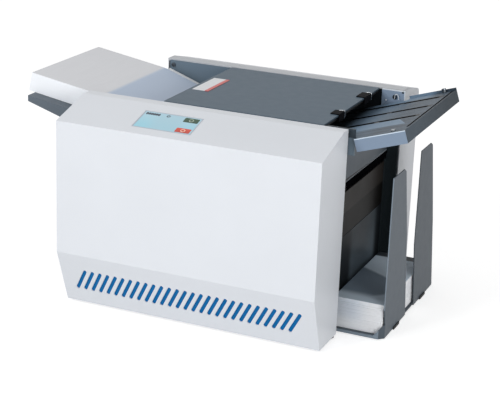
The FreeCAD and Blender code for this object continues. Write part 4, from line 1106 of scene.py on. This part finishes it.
class FOLDER_OT_rollers(bpy.types.Operator):
    """Finish the rollers, bushes, gears, pulleys and belts"""

    bl_idname = "folder.rollers"
    bl_label = "Rollers and drive"

    ROLLERS = ("fold_roller_1", "fold_roller_2", "fold_roller_3", "fold_roller_4", "feed_roller")
    GEARS = ("fold_gear_1", "fold_gear_2", "fold_gear_3", "fold_gear_4", "idler_gear",
             "seal_gear_lower", "seal_gear_upper")

    def execute(self, context):
        colours, _, _ = settings()
        rubber = moulded("roller_rubber", (0.030, 0.032, 0.034), 0.55, 0.03, 0.8)
        dress(rubber, *self.ROLLERS)
        ground = brushed("ground_steel", (0.56, 0.57, 0.59), 0.24, (1.0, 8.0, 1.0))
        dress(ground, "seal_roller_lower", "seal_roller_upper")
        acetal = moulded("gear_acetal", (0.70, 0.69, 0.63), 0.42)
        dress(acetal, *self.GEARS, edge=0.12 * MM, segments=1)
        alloy = brushed("turned_alloy", (0.62, 0.63, 0.65), 0.28, (1.0, 6.0, 1.0))
        dress(alloy, "main_pulley", "motor_pulley", "feed_pulley")
        dress(moulded("belt_rubber", colours.rubber, 0.75), "drive_belt", "feed_belt")
        dress(brushed("bush_bronze", (0.48, 0.30, 0.12), 0.35, (1.0, 4.0, 1.0)), "roller_bushes")
        return {"FINISHED"}


class FOLDER_OT_power(bpy.types.Operator):
    """Finish the motor, the board, the supply, the inlet and its switch"""

    bl_idname = "folder.power"
    bl_label = "Power and control"

    BOARD_GREEN = (0.010, 0.085, 0.035)
    TRACK_GREEN = (0.02, 0.15, 0.06)

    def execute(self, context):
        dress(powder_coat("motor_enamel", (0.018, 0.019, 0.021), 0.42), "drive_motor")
        dress(brushed("supply_sheet", (0.50, 0.51, 0.52), 0.40, (0.05, 1.0, 1.0)), "power_supply")
        board = Finish("board_green", self.BOARD_GREEN, 0.35, Coat_Weight=0.3)
        tracks = board.noise(5, 1.0, (1.0, 1.0, 0.2)).band(0.5, 0.02, 0.01)
        board.set(Base_Color=board.mix(tracks, self.BOARD_GREEN, self.TRACK_GREEN))
        dress(board, "control_board")
        dress(moulded("inlet_black", (0.016, 0.016, 0.017), 0.48), "power_inlet", edge=0.25 * MM)
        dress(moulded("rocker_black", (0.020, 0.020, 0.021), 0.34), "power_switch", edge=0.3 * MM)
        return {"FINISHED"}


class FOLDER_OT_fixings(bpy.types.Operator):
    """Finish the screws and the rubber feet, and add a white wire that stands in for the highlight on the
    rear bracket's screw head, and a stud
    """

    bl_idname = "folder.fixings"
    bl_label = "Screws and feet"

    # Screws beyond this place along Y get painted shade
    SHADED_SCREWS_START = 300.0
    HIGHLIGHT_WIRE_Y = 353.4
    # X and Z of the points that the highlight wire bends through
    HIGHLIGHT_WIRE_BENDS = ((408.4, 309.8), (408.6, 315.6), (410.6, 317.8), (413.4, 316.8), (414.8, 313.0),
                    (415.2, 309.2))
    STUD_PLACE = (394.3, 354.2, 305.9)

    def execute(self, context):
        colours, _, _ = settings()
        plated = brushed("screw_plate", (0.72, 0.73, 0.76), 0.2, (1.0, 1.0, 1.0), contrast=0.06)
        tone = plated.mix(plated.past("Y", self.SHADED_SCREWS_START), (0.27, 0.29, 0.31), (0.16, 0.18, 0.20))
        dress(plated.set(Base_Color=tone), "screws", edge=0.5 * MM)
        # Painted highlight: a bright white wire drawn where the bracket's screw head catches the light
        white = Finish("spring_wire", (0.80, 0.83, 0.86), 0.3)
        points = [(x, self.HIGHLIGHT_WIRE_Y, z) for x, z in self.HIGHLIGHT_WIRE_BENDS]
        bent_wire("plate_spring", points, 0.5, white, "machine")
        new_piece("bracket_stud", self.stud, "machine", white)
        dress(moulded("foot_rubber", colours.rubber, 0.8), "machine_feet", edge=0.6 * MM)
        return {"FINISHED"}

    def stud(self, bm):
        """A small round-headed stud on the rear bracket."""
        place = Matrix.Translation(at(*self.STUD_PLACE))
        radius = 1.25 * MM
        bmesh.ops.create_uvsphere(bm, u_segments=16, v_segments=10, radius=radius, matrix=place)


class FOLDER_OT_stage(bpy.types.Operator):
    """Set the camera, the floor, the lamps and the light from all sides"""

    bl_idname = "folder.stage"
    bl_label = "Camera, floor and lamps"

    # Metres: where each lamp stands, where it points and its width
    KEY = ((-1.25, -2.65, 1.75), (0.0, 0.0, 0.15), 1.3)
    FILL = ((2.25, -2.1, 0.80), (0.15, 0.0, 0.15), 1.2)
    WHITE = (1.0, 1.0, 1.0)

    def execute(self, context):
        _, _, stage = settings()
        self.camera(context.scene, stage)
        self.floor()
        self.surroundings(context.scene, stage.around)
        self.lamp("key_lamp", *self.KEY, stage.key)
        self.lamp("fill_lamp", *self.FILL, stage.fill)
        context.scene.view_settings.view_transform = "Standard"
        return {"FINISHED"}

    def camera(self, scene, stage):
        """The camera at its place, turned by its yaw, pitch and roll."""
        lens = bpy.data.cameras.new("camera")
        lens.sensor_width = 36.0
        lens.lens = stage.lens
        lens.clip_start = 0.05
        lens.clip_end = 60.0
        camera = in_scene("camera", lens)
        yaw, pitch, roll = stage.yaw, stage.pitch, stage.roll
        ahead = Vector((-math.sin(yaw) * math.cos(pitch), math.cos(yaw) * math.cos(pitch), -math.sin(pitch)))
        level = Vector((math.cos(yaw), math.sin(yaw), 0.0))
        upright = level.cross(ahead)
        right = level * math.cos(roll) + upright * math.sin(roll)
        up = upright * math.cos(roll) - level * math.sin(roll)
        turn = Matrix((right, up, -ahead)).transposed().to_4x4()
        camera.matrix_world = Matrix.Translation(stage.camera_place) @ turn
        scene.camera = camera

    def floor(self):
        """A round pale floor that the camera sees as white where no shadow falls."""
        white = Finish("floor_white", (0.66, 0.66, 0.66), 0.9, Emission_Strength=0.635)
        white.set(Emission_Color=white.mix(white.seen(), (0.0, 0.0, 0.0), self.WHITE))
        bm = bmesh.new()
        bmesh.ops.create_circle(bm, cap_ends=True, segments=96, radius=9.0)
        mesh = bpy.data.meshes.new("floor")
        bm.to_mesh(mesh)
        bm.free()
        mesh.materials.append(white.material)
        floor = in_scene("floor", mesh)

    def surroundings(self, scene, around):
        """Even white light from all sides, at full strength only where it is seen directly."""
        world = bpy.data.worlds.new("surroundings")
        world.use_nodes = True
        scene.world = world
        sky = Shading(world.node_tree)
        background = world.node_tree.nodes["Background"]
        strength = sky.seen() * (1.0 - around) + around
        sky.feed(background.inputs["Color"], self.WHITE)
        sky.feed(background.inputs["Strength"], strength)

    def lamp(self, name, place, target, width, power):
        """A round lamp that points at a target."""
        light = bpy.data.lights.new(name, "AREA")
        light.shape = "DISK"
        light.size = width
        light.energy = power
        lamp = in_scene(name, light)
        lamp.location = place
        lamp.rotation_mode = "QUATERNION"
        lamp.rotation_quaternion = (Vector(target) - Vector(place)).to_track_quat("-Z", "Y")


STEPS = (FOLDER_OT_stage, FOLDER_OT_covers, FOLDER_OT_vent_screen, FOLDER_OT_display, FOLDER_OT_frames,
         FOLDER_OT_lid, FOLDER_OT_fold_plates, FOLDER_OT_feed, FOLDER_OT_exit_end, FOLDER_OT_catch,
         FOLDER_OT_rollers, FOLDER_OT_power, FOLDER_OT_fixings)


class FOLDER_PT_steps(bpy.types.Panel):
    """Lists the steps that finish the machine"""

    bl_idname = "FOLDER_PT_steps"
    bl_label = "Paper folding machine"
    bl_space_type = "VIEW_3D"
    bl_region_type = "UI"
    bl_category = "Folder"

    def draw(self, context):
        scene = context.scene
        for group in (scene.folder_colours, scene.folder_sizes, scene.folder_stage):
            box = self.layout.box()
            for name in group.__annotations__:
                box.prop(group, name)
        for step in STEPS:
            self.layout.operator(step.bl_idname)


CLASSES = (FolderColours, FolderSizes, FolderStage, *STEPS, FOLDER_PT_steps)


def register():
    for made in CLASSES:
        bpy.utils.register_class(made)
    bpy.types.Scene.folder_colours = bpy.props.PointerProperty(type=FolderColours)
    bpy.types.Scene.folder_sizes = bpy.props.PointerProperty(type=FolderSizes)
    bpy.types.Scene.folder_stage = bpy.props.PointerProperty(type=FolderStage)


def unregister():
    del bpy.types.Scene.folder_stage
    del bpy.types.Scene.folder_sizes
    del bpy.types.Scene.folder_colours
    for made in reversed(CLASSES):
        bpy.utils.unregister_class(made)


def main():
    """Runs every step in order."""
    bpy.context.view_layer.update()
    register()
    for step in STEPS:
        group, name = step.bl_idname.split(".")
        getattr(getattr(bpy.ops, group), name)()


if __name__ == "__main__":
    main()
